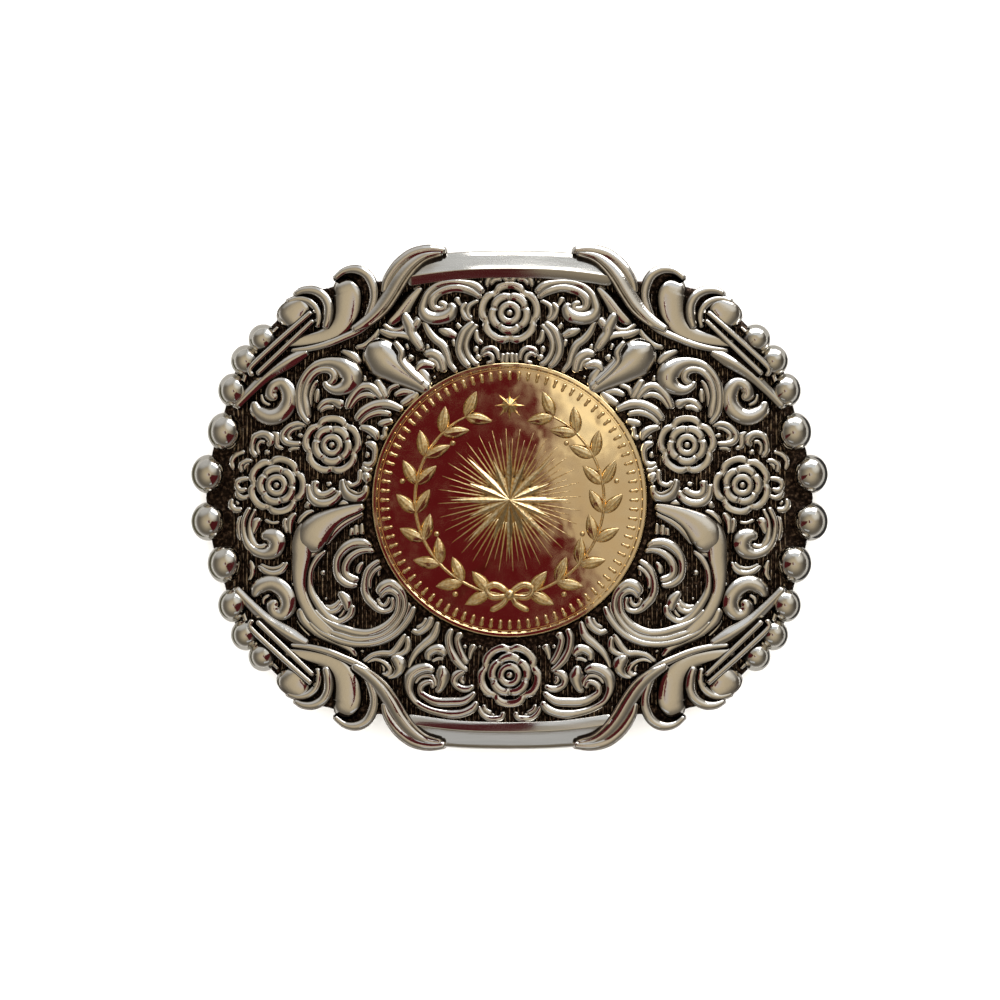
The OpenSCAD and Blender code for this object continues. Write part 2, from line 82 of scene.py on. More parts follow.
# height, face, then the route as x, y, width. Face 0 is round, 1 and -1 have a groove beside the left
# or right edge, 3 a ridge, 4 is nearly flat, 2 is the bar's own.
CORNER = [
    # ribbon that wraps the end of the bar, its lower lip, and the strand outside it
    (3.0, 1, [(-9.3, 33.2, 0.9), (-11.5, 32.7, 1.4), (-13.2, 31.5, 1.8), (-14.6, 29.8, 2), (-15.8, 27.8, 2),
        (-17.2, 25.8, 1.9), (-19, 24.1, 1.5), (-21, 22.9, 0.9)]),
    (2.3, 0, [(-18.2, 24.2, 0.7), (-20.2, 22.8, 0.9), (-22.2, 21.9, 0.9), (-24.5, 21, 0.9),
        (-27, 20.4, 0.8), (-29.4, 20.2, 0.6)]),
    (2.8, 0, [(-8.8, 33.5, 0.9), (-10.9, 33.6, 1.2), (-13, 33.1, 1.3), (-14.7, 31.9, 1.3),
        (-15.8, 30.6, 1.2), (-16.6, 29.2, 1), (-16.9, 27.9, 0.7)]),
    # first lobe: outer band, inner band, and the tongue that swells to a bulb inside them
    (2.6, 0, [(-19.3, 24.1, 0.9), (-18.6, 25.6, 1.1), (-18.2, 27.3, 1.1), (-18.4, 28.9, 1.2),
        (-19.2, 30.3, 1.2), (-20.6, 31, 1.1), (-22.2, 30.8, 0.8), (-23.5, 29.8, 0.6)]),
    (2.2, 4, [(-30.2, 21.2, 1.1), (-28.5, 21.4, 1.5), (-26.5, 21.7, 1.7), (-24.6, 22.2, 2),
        (-23, 23.3, 2.6), (-22.1, 24.8, 3.2), (-21.8, 26.4, 3.5), (-21.8, 27.7, 3.5), (-22.1, 28.6, 3)]),
    # second lobe: outer band, inner band and the ball at its end
    (2.6, 0, [(-24.8, 23.2, 0.9), (-24.4, 24.6, 1.2), (-24.4, 26.2, 1.2), (-25.1, 27.5, 1.2),
        (-26.4, 28.2, 1.1), (-27.8, 28.2, 0.9), (-28.9, 27.7, 0.6)]),
    (2.2, 0, [(-25.9, 23.3, 0.7), (-25.7, 24.6, 1), (-26.1, 25.9, 1), (-27.1, 26.8, 1), (-28.5, 27.1, 0.9),
        (-29.9, 26.7, 0.7)]),
    (2.3, 4, [(-27.9, 26.2, 2.4), (-28.8, 25.5, 3.2), (-29.7, 24.7, 3.3)]),
    # two rods, and the blade
    (2.8, 0, [(-27, 25, 0.6), (-30.9, 21.6, 0.65), (-34.5, 18.3, 0.65), (-35, 17.4, 0.6),
        (-34.7, 16.8, 0.6)]),
    (2.7, 0, [(-26.7, 23.9, 0.6), (-30.3, 20.5, 0.65), (-33.8, 17.2, 0.65)]),
    (2.5, 3, [(-27.3, 19.9, 1), (-29.6, 18.8, 1.9), (-32.4, 17, 1.5), (-34.7, 14.9, 1.2),
        (-36.9, 12.7, 1.1)]),
    (1.6, 0, [(-31.3, 23.2, 0.4), (-33.2, 21.2, 0.8), (-34.9, 18.9, 0.8), (-35.9, 15.9, 0.5)]),
]
# rows of CORNER that the outline goes round
OUTER_ROWS = (0, 2, 3, 5, 6, 7)


def ground(x):
    """Height of the bowed face over the table."""
    return FACE_Z - (BOW_R - np.sqrt(BOW_R ** 2 - np.asarray(x, float) ** 2))


def smooth_line(route, step):
    """Points at even distances on a smooth curve through a route's points, with widths if it has them."""
    p = np.array(route, float)
    p = np.vstack([2 * p[0] - p[1], p, 2 * p[-1] - p[-2]])
    line = []
    for a, b, c, d in zip(p, p[1:], p[2:], p[3:]):
        for t in np.linspace(0, 1, 25)[:-1]:
            line.append(0.5 * (2 * b + (c - a) * t + (2 * a - 5 * b + 4 * c - d) * t ** 2
                               + (3 * b - a - 3 * c + d) * t ** 3))
    line = np.array(line + [p[-2]])
    run = np.concatenate([[0], np.cumsum(np.linalg.norm(np.diff(line[:, :2], axis=0), axis=1))])
    at = np.linspace(0, run[-1], max(6, int(round(run[-1] / step)) + 1))
    return np.column_stack([np.interp(at, run, column) for column in line.T]), at


def four_quarters(points):
    """A quarter's x, y points in all four quarters, the lower ones mirrored about the outline's middle."""
    p = np.array(points, float)
    return [p * (sx, sy) + (0, MID_Y * (1 - sy)) for sx in (1, -1) for sy in (1, -1)]


def tube_faces(rings, n, start=0):
    """Quads between rings of n points each, and a face over either end."""
    quads = [(start + i * n + j, start + i * n + (j + 1) % n,
              start + (i + 1) * n + (j + 1) % n, start + (i + 1) * n + j)
             for i in range(rings - 1) for j in range(n)]
    last = start + (rings - 1) * n
    return quads + [tuple(range(start, start + n))[::-1], tuple(range(last, last + n))]


def new_mesh(name, verts, faces, smooth=True):
    """A closed mesh from points in millimetres, its faces turned outwards."""
    mesh = bpy.data.meshes.new(name)
    mesh.from_pydata((np.array(verts, float) * MM).tolist(), [], faces)
    bm = bmesh.new()
    bm.from_mesh(mesh)
    bmesh.ops.recalc_face_normals(bm, faces=bm.faces)
    bm.to_mesh(mesh)
    bm.free()
    mesh.polygons.foreach_set("use_smooth", [smooth] * len(mesh.polygons))
    return mesh


def add_object(name, data):
    """An object in the scene, made of a mesh or a lamp."""
    ob = bpy.data.objects.new(name, data)
    bpy.context.collection.objects.link(ob)
    return ob


def dress(piece, cad_node, material):
    """Gives a piece its finish and its body, and hides the CAD node that it stands for."""
    piece.data.materials.append(material)
    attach(piece, "root")
    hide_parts(cad_node)
    return piece


def new_piece(name, cad_node, material, verts, faces, rubbed=None, smooth=True):
    """A piece from points about the medallion's centre, with how far each is rubbed bright."""
    mesh = new_mesh(name, np.array(verts, float) - (0, MID_Y, 0), faces, smooth)
    if rubbed is not None:
        mesh.attributes.new("rubbed", "FLOAT", "POINT").data.foreach_set("value", np.float32(rubbed))
    return dress(add_object(name, mesh), cad_node, material)


def rgb(hex_colour):
    """A colour given in sRGB hex, as linear numbers."""
    c = [int(hex_colour[i:i + 2], 16) / 255 for i in (1, 3, 5)]
    return tuple(x / 12.92 if x <= 0.04045 else ((x + 0.055) / 1.055) ** 2.4 for x in c) + (1.0,)


def node(tree, kind, links=None, inputs=None, stops=None, **settings):
    """Adds a node with its settings. Links feed inputs; stops are a ramp's places and colours."""
    n = tree.nodes.new(kind)
    for key, value in settings.items():
        setattr(n, key, value)
    for key, value in (inputs or {}).items():
        n.inputs[key].default_value = value
    for key, source in (links or {}).items():
        tree.links.new(source, n.inputs[key])
    for i, (at, colour) in enumerate(stops or []):
        e = n.color_ramp.elements[i] if i < 2 else n.color_ramp.elements.new(at)
        e.position = at
        e.color = rgb(colour) if isinstance(colour, str) else (colour, colour, colour, 1)
    return n


def new_material(name, metallic=1.0, roughness=0.2, colour="#BDB6AA"):
    """A principled material, its node tree and its shader."""
    m = bpy.data.materials.new(name)
    m.use_nodes = True
    shader = m.node_tree.nodes["Principled BSDF"]
    for key, value in (("Metallic", metallic), ("Roughness", roughness), ("Base Color", rgb(colour))):
        shader.inputs[key].default_value = value
    return m, m.node_tree, shader


def plate_metal(new, where, level, colours, roughness, grain_mm, relief_mm, detail=4.0):
    """Sets a new material's colour and roughness by a level, with a fine grain in relief."""
    m, tree, shader = new
    tint = node(tree, "ShaderNodeValToRGB", {"Fac": level}, stops=colours)
    dull = node(tree, "ShaderNodeValToRGB", {"Fac": level}, stops=roughness)
    grain = node(tree, "ShaderNodeTexNoise", {"Vector": where},
                 {"Scale": 1 / (grain_mm * MM), "Detail": detail})
    bump = node(tree, "ShaderNodeBump", {"Height": grain.outputs["Fac"]},
                {"Strength": 1.0, "Distance": relief_mm * MM})
    for socket, source in (("Base Color", tint.outputs["Color"]), ("Roughness", dull.outputs["Color"]),
                           ("Normal", bump.outputs["Normal"])):
        tree.links.new(source, shader.inputs[socket])
    return m


def metal_finish(name, patch_mm, colours, roughness, grain_mm, relief_mm, detail=4.0, squeeze=(1, 1, 1)):
    """Plated metal whose colour and roughness drift over patches, the roughness from one value to another."""
    new = new_material(name)
    tree = new[1]
    where = node(tree, "ShaderNodeMapping", {"Vector": node(tree, "ShaderNodeTexCoord").outputs["Object"]},
                 {"Scale": squeeze}).outputs[0]
    patch = node(tree, "ShaderNodeTexNoise", {"Vector": where},
                 {"Scale": 1 / (patch_mm * MM), "Detail": detail})
    return plate_metal(new, where, patch.outputs["Fac"], colours, list(zip((0.3, 0.7), roughness)),
                       grain_mm, relief_mm, detail)


# Blackened zinc casting: nickel, oxidised black in a bath. Fine cast grain, dull, with small bright
# specks where the rubbing reached the ground.
black_cast = metal_finish("antiqued_black_nickel", 0.45, [(0.3, "#15110F"), (0.52, "#302621"),
                          (0.64, "#5C4C43"), (0.8, "#8C8172")], (0.55, 0.3), 0.3, 0.05, 6.0)

# outline of the plate: the furthest point of all its discs in each direction from the middle
BEAD_FLOOR, STRAND_FLOOR = 0.86, 0.39    # a disc's radius, as a share of a bead's or of a strand's width
OUTLINE_N = 1080
discs = [(x, y, 0.1) for q in four_quarters(smooth_line(PLATE_EDGE, 0.15)[0]) for x, y in q]
discs += [(*q[0], size * BEAD_R * BEAD_FLOOR) for x, y, size, _ in BEADS for q in four_quarters([(x, y)])]
discs += [(*q[0], r) for x, y, r in LOBE_FLOORS for q in four_quarters([(x, y)])]
for row in (CORNER[i] for i in OUTER_ROWS):
    line = smooth_line(row[2], 0.2)[0]
    for q in four_quarters(line[:, :2]):
        discs += [(x, y, STRAND_FLOOR * width) for (x, y), width in zip(q, line[:, 2])]
discs = np.array(discs) - (0, MID_Y, 0)
turn = np.linspace(0, 2 * np.pi, OUTLINE_N, endpoint=False)
way = np.column_stack([np.cos(turn), np.sin(turn)])
along = way @ discs[:, :2].T
off2 = (discs[:, :2] ** 2).sum(1) - along ** 2
reach = np.where(off2 < discs[:, 2] ** 2, along + np.sqrt(np.maximum(discs[:, 2] ** 2 - off2, 0)), 0).max(1)
outline = way * reach[:, None] + (0, MID_Y)

# rings of the plate, from the seat's middle over the face, round the edge and back under
verts = []


def plate_ring(xy, z):
    """Adds a ring of points at height z, one height or one to a point."""
    verts.extend(np.column_stack([xy, np.broadcast_to(z, len(xy))]))


SEAT_R, SEAT_Z = COIN_R + FIT_GAP, COIN_Z - FIT_GAP
for r, z in ((0.02, SEAT_Z), (9, SEAT_Z), (SEAT_R, SEAT_Z), (SEAT_R, FACE_Z - 0.08),
             (SEAT_R + 0.08, FACE_Z), (SEAT_R + SEAT_WALL - 0.25, FACE_Z)):
    plate_ring(way * r, z)
collar = way * (SEAT_R + SEAT_WALL - 0.15)
for share in (0, 0.06, 0.14, 0.24, 0.36, 0.5, 0.64, 0.78, 0.9, 0.975):
    xy = collar + (outline - collar) * share
    plate_ring(xy, np.minimum(ground(xy[:, 0]), FACE_Z - 0.05))
# share of the outline, depth under the face: the rounded edge, then the plain back
for share, drop in ((0.998, 0.06), (1, 0.25), (1, PLATE_T - 0.25), (0.998, PLATE_T - 0.05),
                    *((share, PLATE_T) for share in (0.975, 0.85, 0.7, 0.55, 0.4, 0.25, 0.12, 0.001))):
    xy = outline * share
    plate_ring(xy, ground(xy[:, 0]) - drop)
faces = tube_faces(len(verts) // OUTLINE_N, OUTLINE_N)

# flat bosses on the back that the feet of the loop and the post are soldered to: x, y
BOSSES = [(-20, 21.5), (-20, -21.5), (26, 0)]
BOSS_R, BOSS_T, BOSS_FLARE = 4.2, 0.9, 0.75
BOSS_ROOT = 1.3                          # how far a boss reaches up into the plate
for x, y in BOSSES:
    back = float(ground(x)) - PLATE_T
    start = len(verts)
    disc = way[::18]
    for r, z in ((0.01, back + BOSS_ROOT), (BOSS_R + BOSS_FLARE, back + BOSS_ROOT),
                 (BOSS_R + 0.1, back - BOSS_T + 0.15), (BOSS_R - 0.1, back - BOSS_T), (0.01, back - BOSS_T)):
        plate_ring(disc * r + (x, y), z)
    faces += tube_faces(5, len(disc), start)

# Nickel over the cast back: bright but soft, with the even pebble of a sand-blasted die.
back_nickel = metal_finish("nickel_plated_die_cast_back", 11, [(0.35, "#A39C91"), (0.65, "#C2BCB1")],
                           (0.36, 0.24), 0.38, 0.03)

plate = new_piece("cast_plate", "casting", black_cast, verts, faces)
plate.data.materials.append(back_nickel)
for poly in plate.data.polygons:
    c = poly.center / MM
    off, under = math.hypot(c.x, c.y) - COIN_R, float(ground(c.x)) - c.z
    if off > 1.5 and under > 0.35 or under > PLATE_T - 0.1:
        poly.material_index = 1
    poly.use_smooth = abs(poly.normal.z) < 0.9 or off > 2


# Scrollwork: strands cast in one with the plate, each a half-round wire that swells to a bulb or a
# leaf, rubbed bright on top and black at the foot. The rows give the left half, from the top down, as
# in the corners: height, face, then the route as x, y, width.
FIELD = [
    # scroll beside the top flower: outer band, inner band, dot with its tail
    (2.1, 0, [(-3.7, 28, 0.6), (-4.6, 28.8, 0.8), (-6, 29.2, 0.6), (-8, 29.3, 0.5), (-9.8, 28.8, 0.5),
        (-11, 27.8, 0.6), (-11.5, 26.7, 0.8), (-11.7, 25.6, 1), (-11.1, 24.7, 1.3), (-10, 24.4, 1.3),
        (-9, 24.5, 1.3), (-8.1, 24.9, 1.4), (-7.7, 25.7, 1), (-7.9, 26.4, 0.5)]),
    (1.8, 0, [(-4, 27.3, 0.5), (-5, 28, 0.8), (-6.6, 28.5, 0.9), (-8.2, 28.4, 0.9), (-9.6, 27.8, 0.9),
        (-10.4, 26.9, 1), (-10.2, 25.9, 0.8), (-9.4, 25.6, 0.6), (-8.7, 25.8, 0.6), (-8.8, 26.3, 0.6),
        (-9.4, 26.5, 0.5)]),
    (1.4, 0, [(-7.1, 27.1, 0.7), (-6.9, 26.6, 0.6), (-6.5, 26, 0.3)]),
    # leaves by the top flower
    (1.5, 0, [(-5.8, 26.5, 0.3), (-6.4, 25.6, 0.5), (-5.9, 24.5, 0.5), (-5.1, 24.1, 0.3)]),
    (1.5, 0, [(-4.3, 26.8, 0.3), (-5.3, 26.2, 0.4), (-5.6, 25.5, 0.4), (-5.5, 24.8, 0.4),
        (-5.1, 24.3, 0.3)]),
    (1.7, 0, [(-4.9, 23.8, 0.5), (-6.1, 22.7, 0.8), (-6.7, 21, 0.8), (-6.7, 19.8, 0.8), (-6.1, 18.6, 0.7),
        (-5.4, 17.9, 0.5)]),
    (1.5, 0, [(-4.4, 23.5, 0.4), (-5.3, 22.4, 0.5), (-5.8, 21, 0.5), (-5.6, 19.7, 0.5), (-4.9, 18.6, 0.5),
        (-4.2, 18.2, 0.4)]),
    (1.4, 0, [(-4.5, 22.8, 0.4), (-4.3, 21.6, 0.6), (-3.6, 21, 0.3)]),
    (1.3, 0, [(-4.5, 20.7, 0.3), (-4.5, 20.3, 0.6), (-4.5, 19.9, 0.5)]),
    (1.5, 0, [(-3.7, 19.8, 0.3), (-3.2, 20.3, 0.4), (-2.2, 20.4, 0.4), (-1.6, 19.8, 0.4),
        (-1.4, 18.9, 0.3)]),
    (1.4, 0, [(-3.6, 19.4, 0.3), (-2.9, 19.7, 0.4), (-2.3, 19.3, 0.4), (-2.3, 18.6, 0.4), (-3, 18.4, 0.3)]),
    (1.3, 0, [(-4.2, 19.4, 0.6), (-4.2, 19, 0.8)]),
    (1.3, 0, [(-1, 18.5, 0.3), (-0.9, 19.6, 0.4)]),
    (1.3, 0, [(-0.4, 18.4, 0.3), (-0.3, 19.7, 0.4)]),
    (1.5, 0, [(-3.1, 28.7, 0.3), (-2.9, 29.5, 0.5), (-2.5, 30.2, 0.3)]),
    (1.5, 0, [(-2.5, 29, 0.3), (-2, 29.6, 0.4), (-1.1, 29.7, 0.3)]),
    (1.5, 0, [(-0.8, 30, 0.4), (-0.3, 29.5, 0.5)]),
    # leaf by the ribbon, and the branches between it and the bud
    (1.5, 0, [(-12, 28.4, 0.8), (-13.3, 27, 1.6), (-14.6, 25.4, 1.8), (-16, 24, 1.2)]),
    (1.4, 0, [(-17, 23.7, 0.3), (-15.8, 22.9, 0.4), (-14.6, 23, 0.4), (-14, 23.8, 0.3)]),
    (1.6, 0, [(-17.5, 22.9, 0.5), (-16, 22.3, 0.8), (-14.2, 22.1, 0.8), (-13.2, 21.7, 1),
        (-12.7, 20.9, 0.8)]),
    (1.5, 0, [(-17.6, 23, 0.4), (-18.2, 22, 0.7), (-19.4, 20.9, 0.7), (-20.6, 20.6, 0.5)]),
    (1.8, 0, [(-14.2, 24.9, 0.8), (-13.8, 24.2, 1.1), (-13.3, 23.2, 1.3), (-13.2, 22.4, 1.2),
        (-12.6, 21.4, 1.3), (-11.8, 20.3, 0.8)]),
    (1.7, 0, [(-12.2, 24.2, 0.9), (-12.8, 23.4, 0.9)]),
    (1.2, 0, [(-13.8, 21, 0.4), (-13.8, 20.4, 0.6)]),
    (1.2, 0, [(-11, 20.9, 0.4), (-11, 20.4, 0.6)]),
    (1.7, 0, [(-11.4, 23.9, 0.5), (-10.8, 22.6, 0.7), (-10, 21.6, 0.8), (-9, 20.8, 0.8), (-8.4, 19.6, 0.7),
        (-8, 18.3, 0.6), (-7.2, 17.3, 0.4)]),
    (1.6, 0, [(-11.3, 19.6, 0.7), (-10.3, 19.7, 1.1), (-9.2, 18.9, 1.2), (-8.8, 17.4, 0.8)]),
    (1.4, 0, [(-10.9, 18.9, 0.3), (-9.9, 18.6, 0.4), (-9.5, 17.5, 0.4)]),
    (1.7, 0, [(-12.6, 17.3, 0.6), (-11.7, 18.2, 1.1), (-10.2, 18, 0.6)]),
    (1.6, 0, [(-12.1, 17.6, 0.9), (-11.6, 16.8, 1.2), (-11.2, 16, 1.2), (-10.7, 15.6, 0.7)]),
    (1.5, 0, [(-9.4, 22.9, 0.6), (-8.5, 22.6, 1.1), (-7.2, 22, 0.6)]),
    (1.3, 0, [(-7.6, 21.5, 0.4), (-7.3, 20.7, 0.5)]),
    (1.2, 0, [(-7.1, 23.7, 0.4), (-6.6, 23.1, 0.5)]),
    # trumpet-shaped bud with its bright rim, and the leaves under it
    (2.3, 0, [(-17.6, 19.7, 4), (-16.6, 18.7, 4.2), (-15.2, 17.6, 3.4), (-13.6, 16.6, 2.4),
        (-12.3, 15.8, 1.8), (-11.2, 15, 1.3)]),
    (2.4, 0, [(-15.4, 21.2, 0.4), (-14.5, 19.9, 0.6), (-14.6, 18.7, 0.5), (-13.5, 17.3, 0.5),
        (-11.7, 15.7, 0.4)]),
    (1.6, 0, [(-17.8, 16, 0.7), (-17.2, 14.8, 1), (-16.6, 13.8, 0.7)]),
    (1.4, 0, [(-16.4, 14.1, 0.3), (-16, 15, 0.4), (-14.9, 15.5, 0.4)]),
    (1.4, 0, [(-15.4, 14.1, 0.5), (-14.2, 14.6, 0.8), (-12.8, 14.4, 0.6)]),
    (1.5, 0, [(-14.5, 12.9, 0.6), (-13.4, 13.5, 1), (-12.4, 14.4, 0.6)]),
    # large volute over the inner flower: outer, inner and third strand, and the leaves at its back
    (2.3, 0, [(-27.1, 10.4, 0.4), (-28.1, 11.8, 0.6), (-28.4, 13.6, 0.6), (-28.2, 15.5, 0.6),
        (-27.3, 17.2, 0.6), (-25.9, 18.3, 0.8), (-24.2, 18.6, 1.1), (-22.6, 18.1, 1.9), (-21.5, 17, 2.6),
        (-21.5, 15.9, 2.3), (-22.3, 15.1, 1.5), (-23.6, 14.8, 0.9), (-24.6, 15.3, 0.6),
        (-24.9, 15.9, 0.4)]),
    (1.9, 0, [(-27.1, 11.2, 0.6), (-27.4, 12.4, 0.9), (-27.6, 14.2, 0.8), (-27.1, 16, 0.7),
        (-26.1, 17.2, 0.7), (-24.9, 17.6, 0.7), (-23.9, 17.3, 0.8), (-23.6, 16.5, 0.8), (-24, 15.9, 0.7),
        (-24.6, 15.7, 0.4)]),
    (1.4, 0, [(-26.9, 12.6, 0.4), (-26.9, 14, 0.6), (-26.5, 15.3, 0.6), (-25.9, 16.1, 0.4)]),
    (1.3, 0, [(-26, 13.2, 0.4), (-25.9, 14.2, 0.6), (-25.8, 14.9, 0.4)]),
    (1.5, 0, [(-22.5, 20.1, 0.6), (-21.2, 19.4, 1.1), (-20.2, 18.5, 0.6)]),
    (1.2, 0, [(-19.5, 16.7, 0.3), (-19.5, 16, 0.5)]),
    # round volute by the upper blade
    (2.1, 0, [(-34.6, 13.1, 0.8), (-34, 11.9, 1.4), (-32.5, 11.2, 1.7), (-30.9, 11.6, 1.8),
        (-29.8, 13, 1.8), (-29.8, 14.6, 1.7), (-30.7, 15.8, 1.4), (-31.8, 15.5, 1.4), (-32.2, 14.4, 1.4),
        (-31.7, 13.7, 0.9)]),
    (1.4, 0, [(-33.5, 14.3, 0.3), (-33.2, 13.3, 0.4), (-32.3, 12.8, 0.3)]),
    # arches and leaves round the inner flower
    (1.7, 0, [(-21.9, 12.4, 0.5), (-21.2, 13.9, 0.8), (-20.1, 15.1, 0.8), (-18.9, 15.3, 0.8),
        (-18, 14.7, 0.8), (-17.2, 13.7, 0.5)]),
    (1.5, 0, [(-21.5, 12.4, 0.4), (-20.5, 13.7, 0.6), (-19.2, 14.2, 0.6), (-18, 13.9, 0.5)]),
    (1.7, 0, [(-20.6, 10.9, 0.6), (-19.6, 12, 0.9), (-18, 12.8, 0.9), (-16.3, 12.9, 0.9),
        (-14.5, 12.2, 0.6)]),
    (1.5, 0, [(-20.1, 10.3, 0.4), (-19, 11.3, 0.6), (-17.5, 11.8, 0.7), (-16, 11.6, 0.5)]),
    (1.5, 0, [(-25.8, 12.2, 0.4), (-25, 13.1, 0.6), (-24, 13.4, 0.6), (-23, 13.1, 1.1), (-22.6, 12.9, 1)]),
    (1.4, 0, [(-25.5, 12, 0.3), (-24.6, 12.5, 0.4), (-23.7, 12.5, 0.3)]),
    (1.6, 0, [(-20, 9.8, 0.5), (-18.9, 9.5, 0.8), (-18.1, 8.9, 0.9), (-17.8, 8.1, 0.4)]),
    (1.1, 0, [(-19, 8.6, 0.4), (-18.7, 8.3, 0.4)]),
    (1.4, 0, [(-17.6, 10.2, 0.5), (-16.9, 10.4, 0.8), (-15.9, 10.6, 0.7)]),
    (1.4, 0, [(-17.3, 8.3, 0.5), (-16.8, 8.6, 0.5), (-16.8, 9.2, 0.4), (-16.6, 9.7, 0.5)]),
    (1.6, 0, [(-19.2, 7.6, 0.5), (-18.5, 7.4, 0.8), (-18.1, 6.8, 0.6), (-18.1, 6, 0.5), (-18.3, 5.1, 0.5),
        (-18.9, 4.7, 0.6), (-19.7, 4.9, 0.4)]),
    (1.3, 0, [(-19.1, 6.4, 0.4), (-19.1, 5.8, 0.5)]),
    (1.5, 0, [(-19.8, 4.5, 0.3), (-19.2, 4, 0.5), (-18.5, 4.1, 0.4)]),
    (1.7, 0, [(-19.5, 3.5, 0.7), (-19.2, 3, 1.1), (-19.2, 2.6, 0.8)]),
    (1.7, 1, [(-22.5, 2.7, 0.5), (-22.3, 1.6, 1), (-21.8, 0.8, 1.3), (-20.9, 0.3, 1.4), (-20, 0.4, 1.1),
        (-19.4, 1, 0.8), (-19.3, 1.8, 0.6)]),
    (1.5, 0, [(-21.9, 2.4, 0.4), (-21.3, 2, 0.4), (-20.7, 2.1, 0.4), (-20.2, 2.5, 0.4), (-20.1, 3.3, 0.4),
        (-20.1, 4, 0.4)]),
    (1.7, 0, [(-27.1, 2, 0.5), (-27, 1.1, 0.6), (-26.7, 0.3, 0.8), (-26, -0.3, 0.9), (-25, -0.5, 1),
        (-23.9, -0.2, 0.9), (-23.1, 0.5, 0.7), (-22.9, 1.2, 0.4)]),
    (1.7, 0, [(-26.1, 2.4, 0.8), (-26.2, 1.7, 0.7), (-26, 1, 0.8), (-25.3, 0.7, 0.7), (-24.4, 0.9, 0.6),
        (-23.6, 1.4, 0.6)]),
    (1.1, 0, [(-24.5, 2.1, 0.6), (-24.1, 2.1, 0.6)]),
    (1.4, 0, [(-27.5, -0.9, 0.4), (-27, -0.5, 0.7)]),
    (1.3, 0, [(-22.9, -0.6, 0.5), (-22.4, -0.4, 0.8), (-21.8, -0.5, 0.6)]),
    # leaves between the two flowers and round the outer one
    (1.5, 0, [(-27.5, 10.1, 0.4), (-28.5, 10.3, 0.5), (-29.6, 10, 0.6), (-30.4, 9.2, 0.6),
        (-30.6, 8.4, 0.6), (-30.1, 7.8, 0.6), (-29.2, 7.6, 0.5), (-28.2, 7.6, 0.4)]),
    (1.3, 0, [(-28, 9.8, 0.3), (-28.9, 9.6, 0.3), (-29.6, 9.1, 0.4), (-29.8, 8.5, 0.4), (-29.4, 8, 0.3)]),
    (1.1, 0, [(-28.4, 8.7, 0.5), (-28, 8.7, 0.5)]),
    (1.2, 0, [(-29.7, 6.7, 0.3), (-29.1, 7, 0.4), (-28.3, 7, 0.3)]),
    (1.6, 0, [(-34.2, 5.9, 0.4), (-34.7, 6.6, 0.5), (-34.7, 7.6, 0.5), (-34.4, 8.5, 0.6), (-33.7, 8.9, 0.7),
        (-32.9, 8.9, 0.8), (-32.3, 8.4, 0.9), (-32.2, 7.8, 0.7), (-32.6, 7.4, 0.4)]),
    (1.3, 0, [(-33.8, 6.2, 0.3), (-34, 6.9, 0.3), (-33.9, 7.5, 0.3), (-33.5, 7.9, 0.3), (-33, 7.8, 0.3)]),
    (1.3, 0, [(-31.9, 9.1, 0.5), (-31.4, 8.7, 0.8), (-31.4, 7.9, 0.8), (-31.2, 7.2, 0.5), (-30.5, 7, 0.3)]),
    (1, 0, [(-32.9, 6.5, 0.6), (-32.5, 6.4, 0.6)]),
    (1.4, 0, [(-34.8, 5.3, 0.3), (-35.5, 5.3, 0.4), (-36.2, 4.9, 0.4), (-36.3, 4.3, 0.4),
        (-36.1, 3.8, 0.3)]),
    (1.2, 0, [(-35.2, 5, 0.2), (-35.7, 4.6, 0.3), (-35.8, 4.1, 0.2)]),
    (1, 0, [(-37.3, 4.2, 0.4), (-37.5, 5.2, 0.5), (-36.9, 6.1, 0.5), (-35.8, 6.5, 0.4)]),
    (1.5, 0, [(-35.2, 2.9, 0.3), (-36.2, 2.8, 0.5), (-36.8, 2.3, 0.5), (-36.7, 1.6, 0.5), (-36.2, 1.3, 0.5),
        (-35.5, 1.5, 0.3)]),
    (1.4, 0, [(-36.9, 1.3, 0.3), (-36.6, 0.6, 0.6), (-35.9, 0.3, 0.5), (-35.2, 0.6, 0.3)]),
    (1.4, 0, [(-37.5, 0.1, 0.4), (-37.6, -0.7, 0.6), (-37.1, -1.3, 0.6), (-36.2, -1.3, 0.5)]),
    (1.1, 0, [(-36.9, -0.2, 0.3), (-36.6, -0.6, 0.3)]),
    (1.1, 0, [(-32.9, -2.7, 0.3), (-32, -3.1, 0.3), (-31.1, -3, 0.3)]),
    (1.4, 0, [(-30.2, -2.5, 0.3), (-30.3, -3.3, 0.4), (-30, -4.4, 0.3)]),
    (1.4, 0, [(-28.9, -1.8, 0.4), (-29.5, -2.7, 0.8), (-29.6, -3.7, 0.6), (-29.5, -4.5, 0.3)]),
    # scroll below the outer flower: outer strand that swells to a bulb, inner strand, leaf
    (2.1, 0, [(-35.1, -1.1, 0.4), (-35.8, -2.6, 0.4), (-35.9, -4.2, 0.5), (-35.5, -5.7, 0.6),
        (-34.6, -6.8, 0.8), (-33.2, -7.3, 1), (-31.9, -6.9, 1.6), (-31.4, -5.9, 2.1), (-31.8, -5.1, 2),
        (-32.6, -4.8, 1.4), (-33.2, -4.9, 0.8)]),
    (1.6, 0, [(-34.3, -1.3, 0.3), (-34.9, -2.5, 0.4), (-35.1, -3.8, 0.5), (-35, -4.8, 0.7),
        (-34.8, -5.6, 0.9), (-34.1, -6.3, 0.6), (-33.3, -6.3, 0.5), (-32.8, -6, 0.4)]),
    (1.4, 0, [(-33.8, -2.6, 0.7), (-34.2, -3, 1.3), (-34.5, -3.9, 0.8), (-34.7, -4.5, 0.5)]),
    (1, 0, [(-36.3, -2.2, 0.3), (-36.6, -3.4, 0.5), (-36.5, -4.6, 0.5), (-36.3, -5.4, 0.3)]),
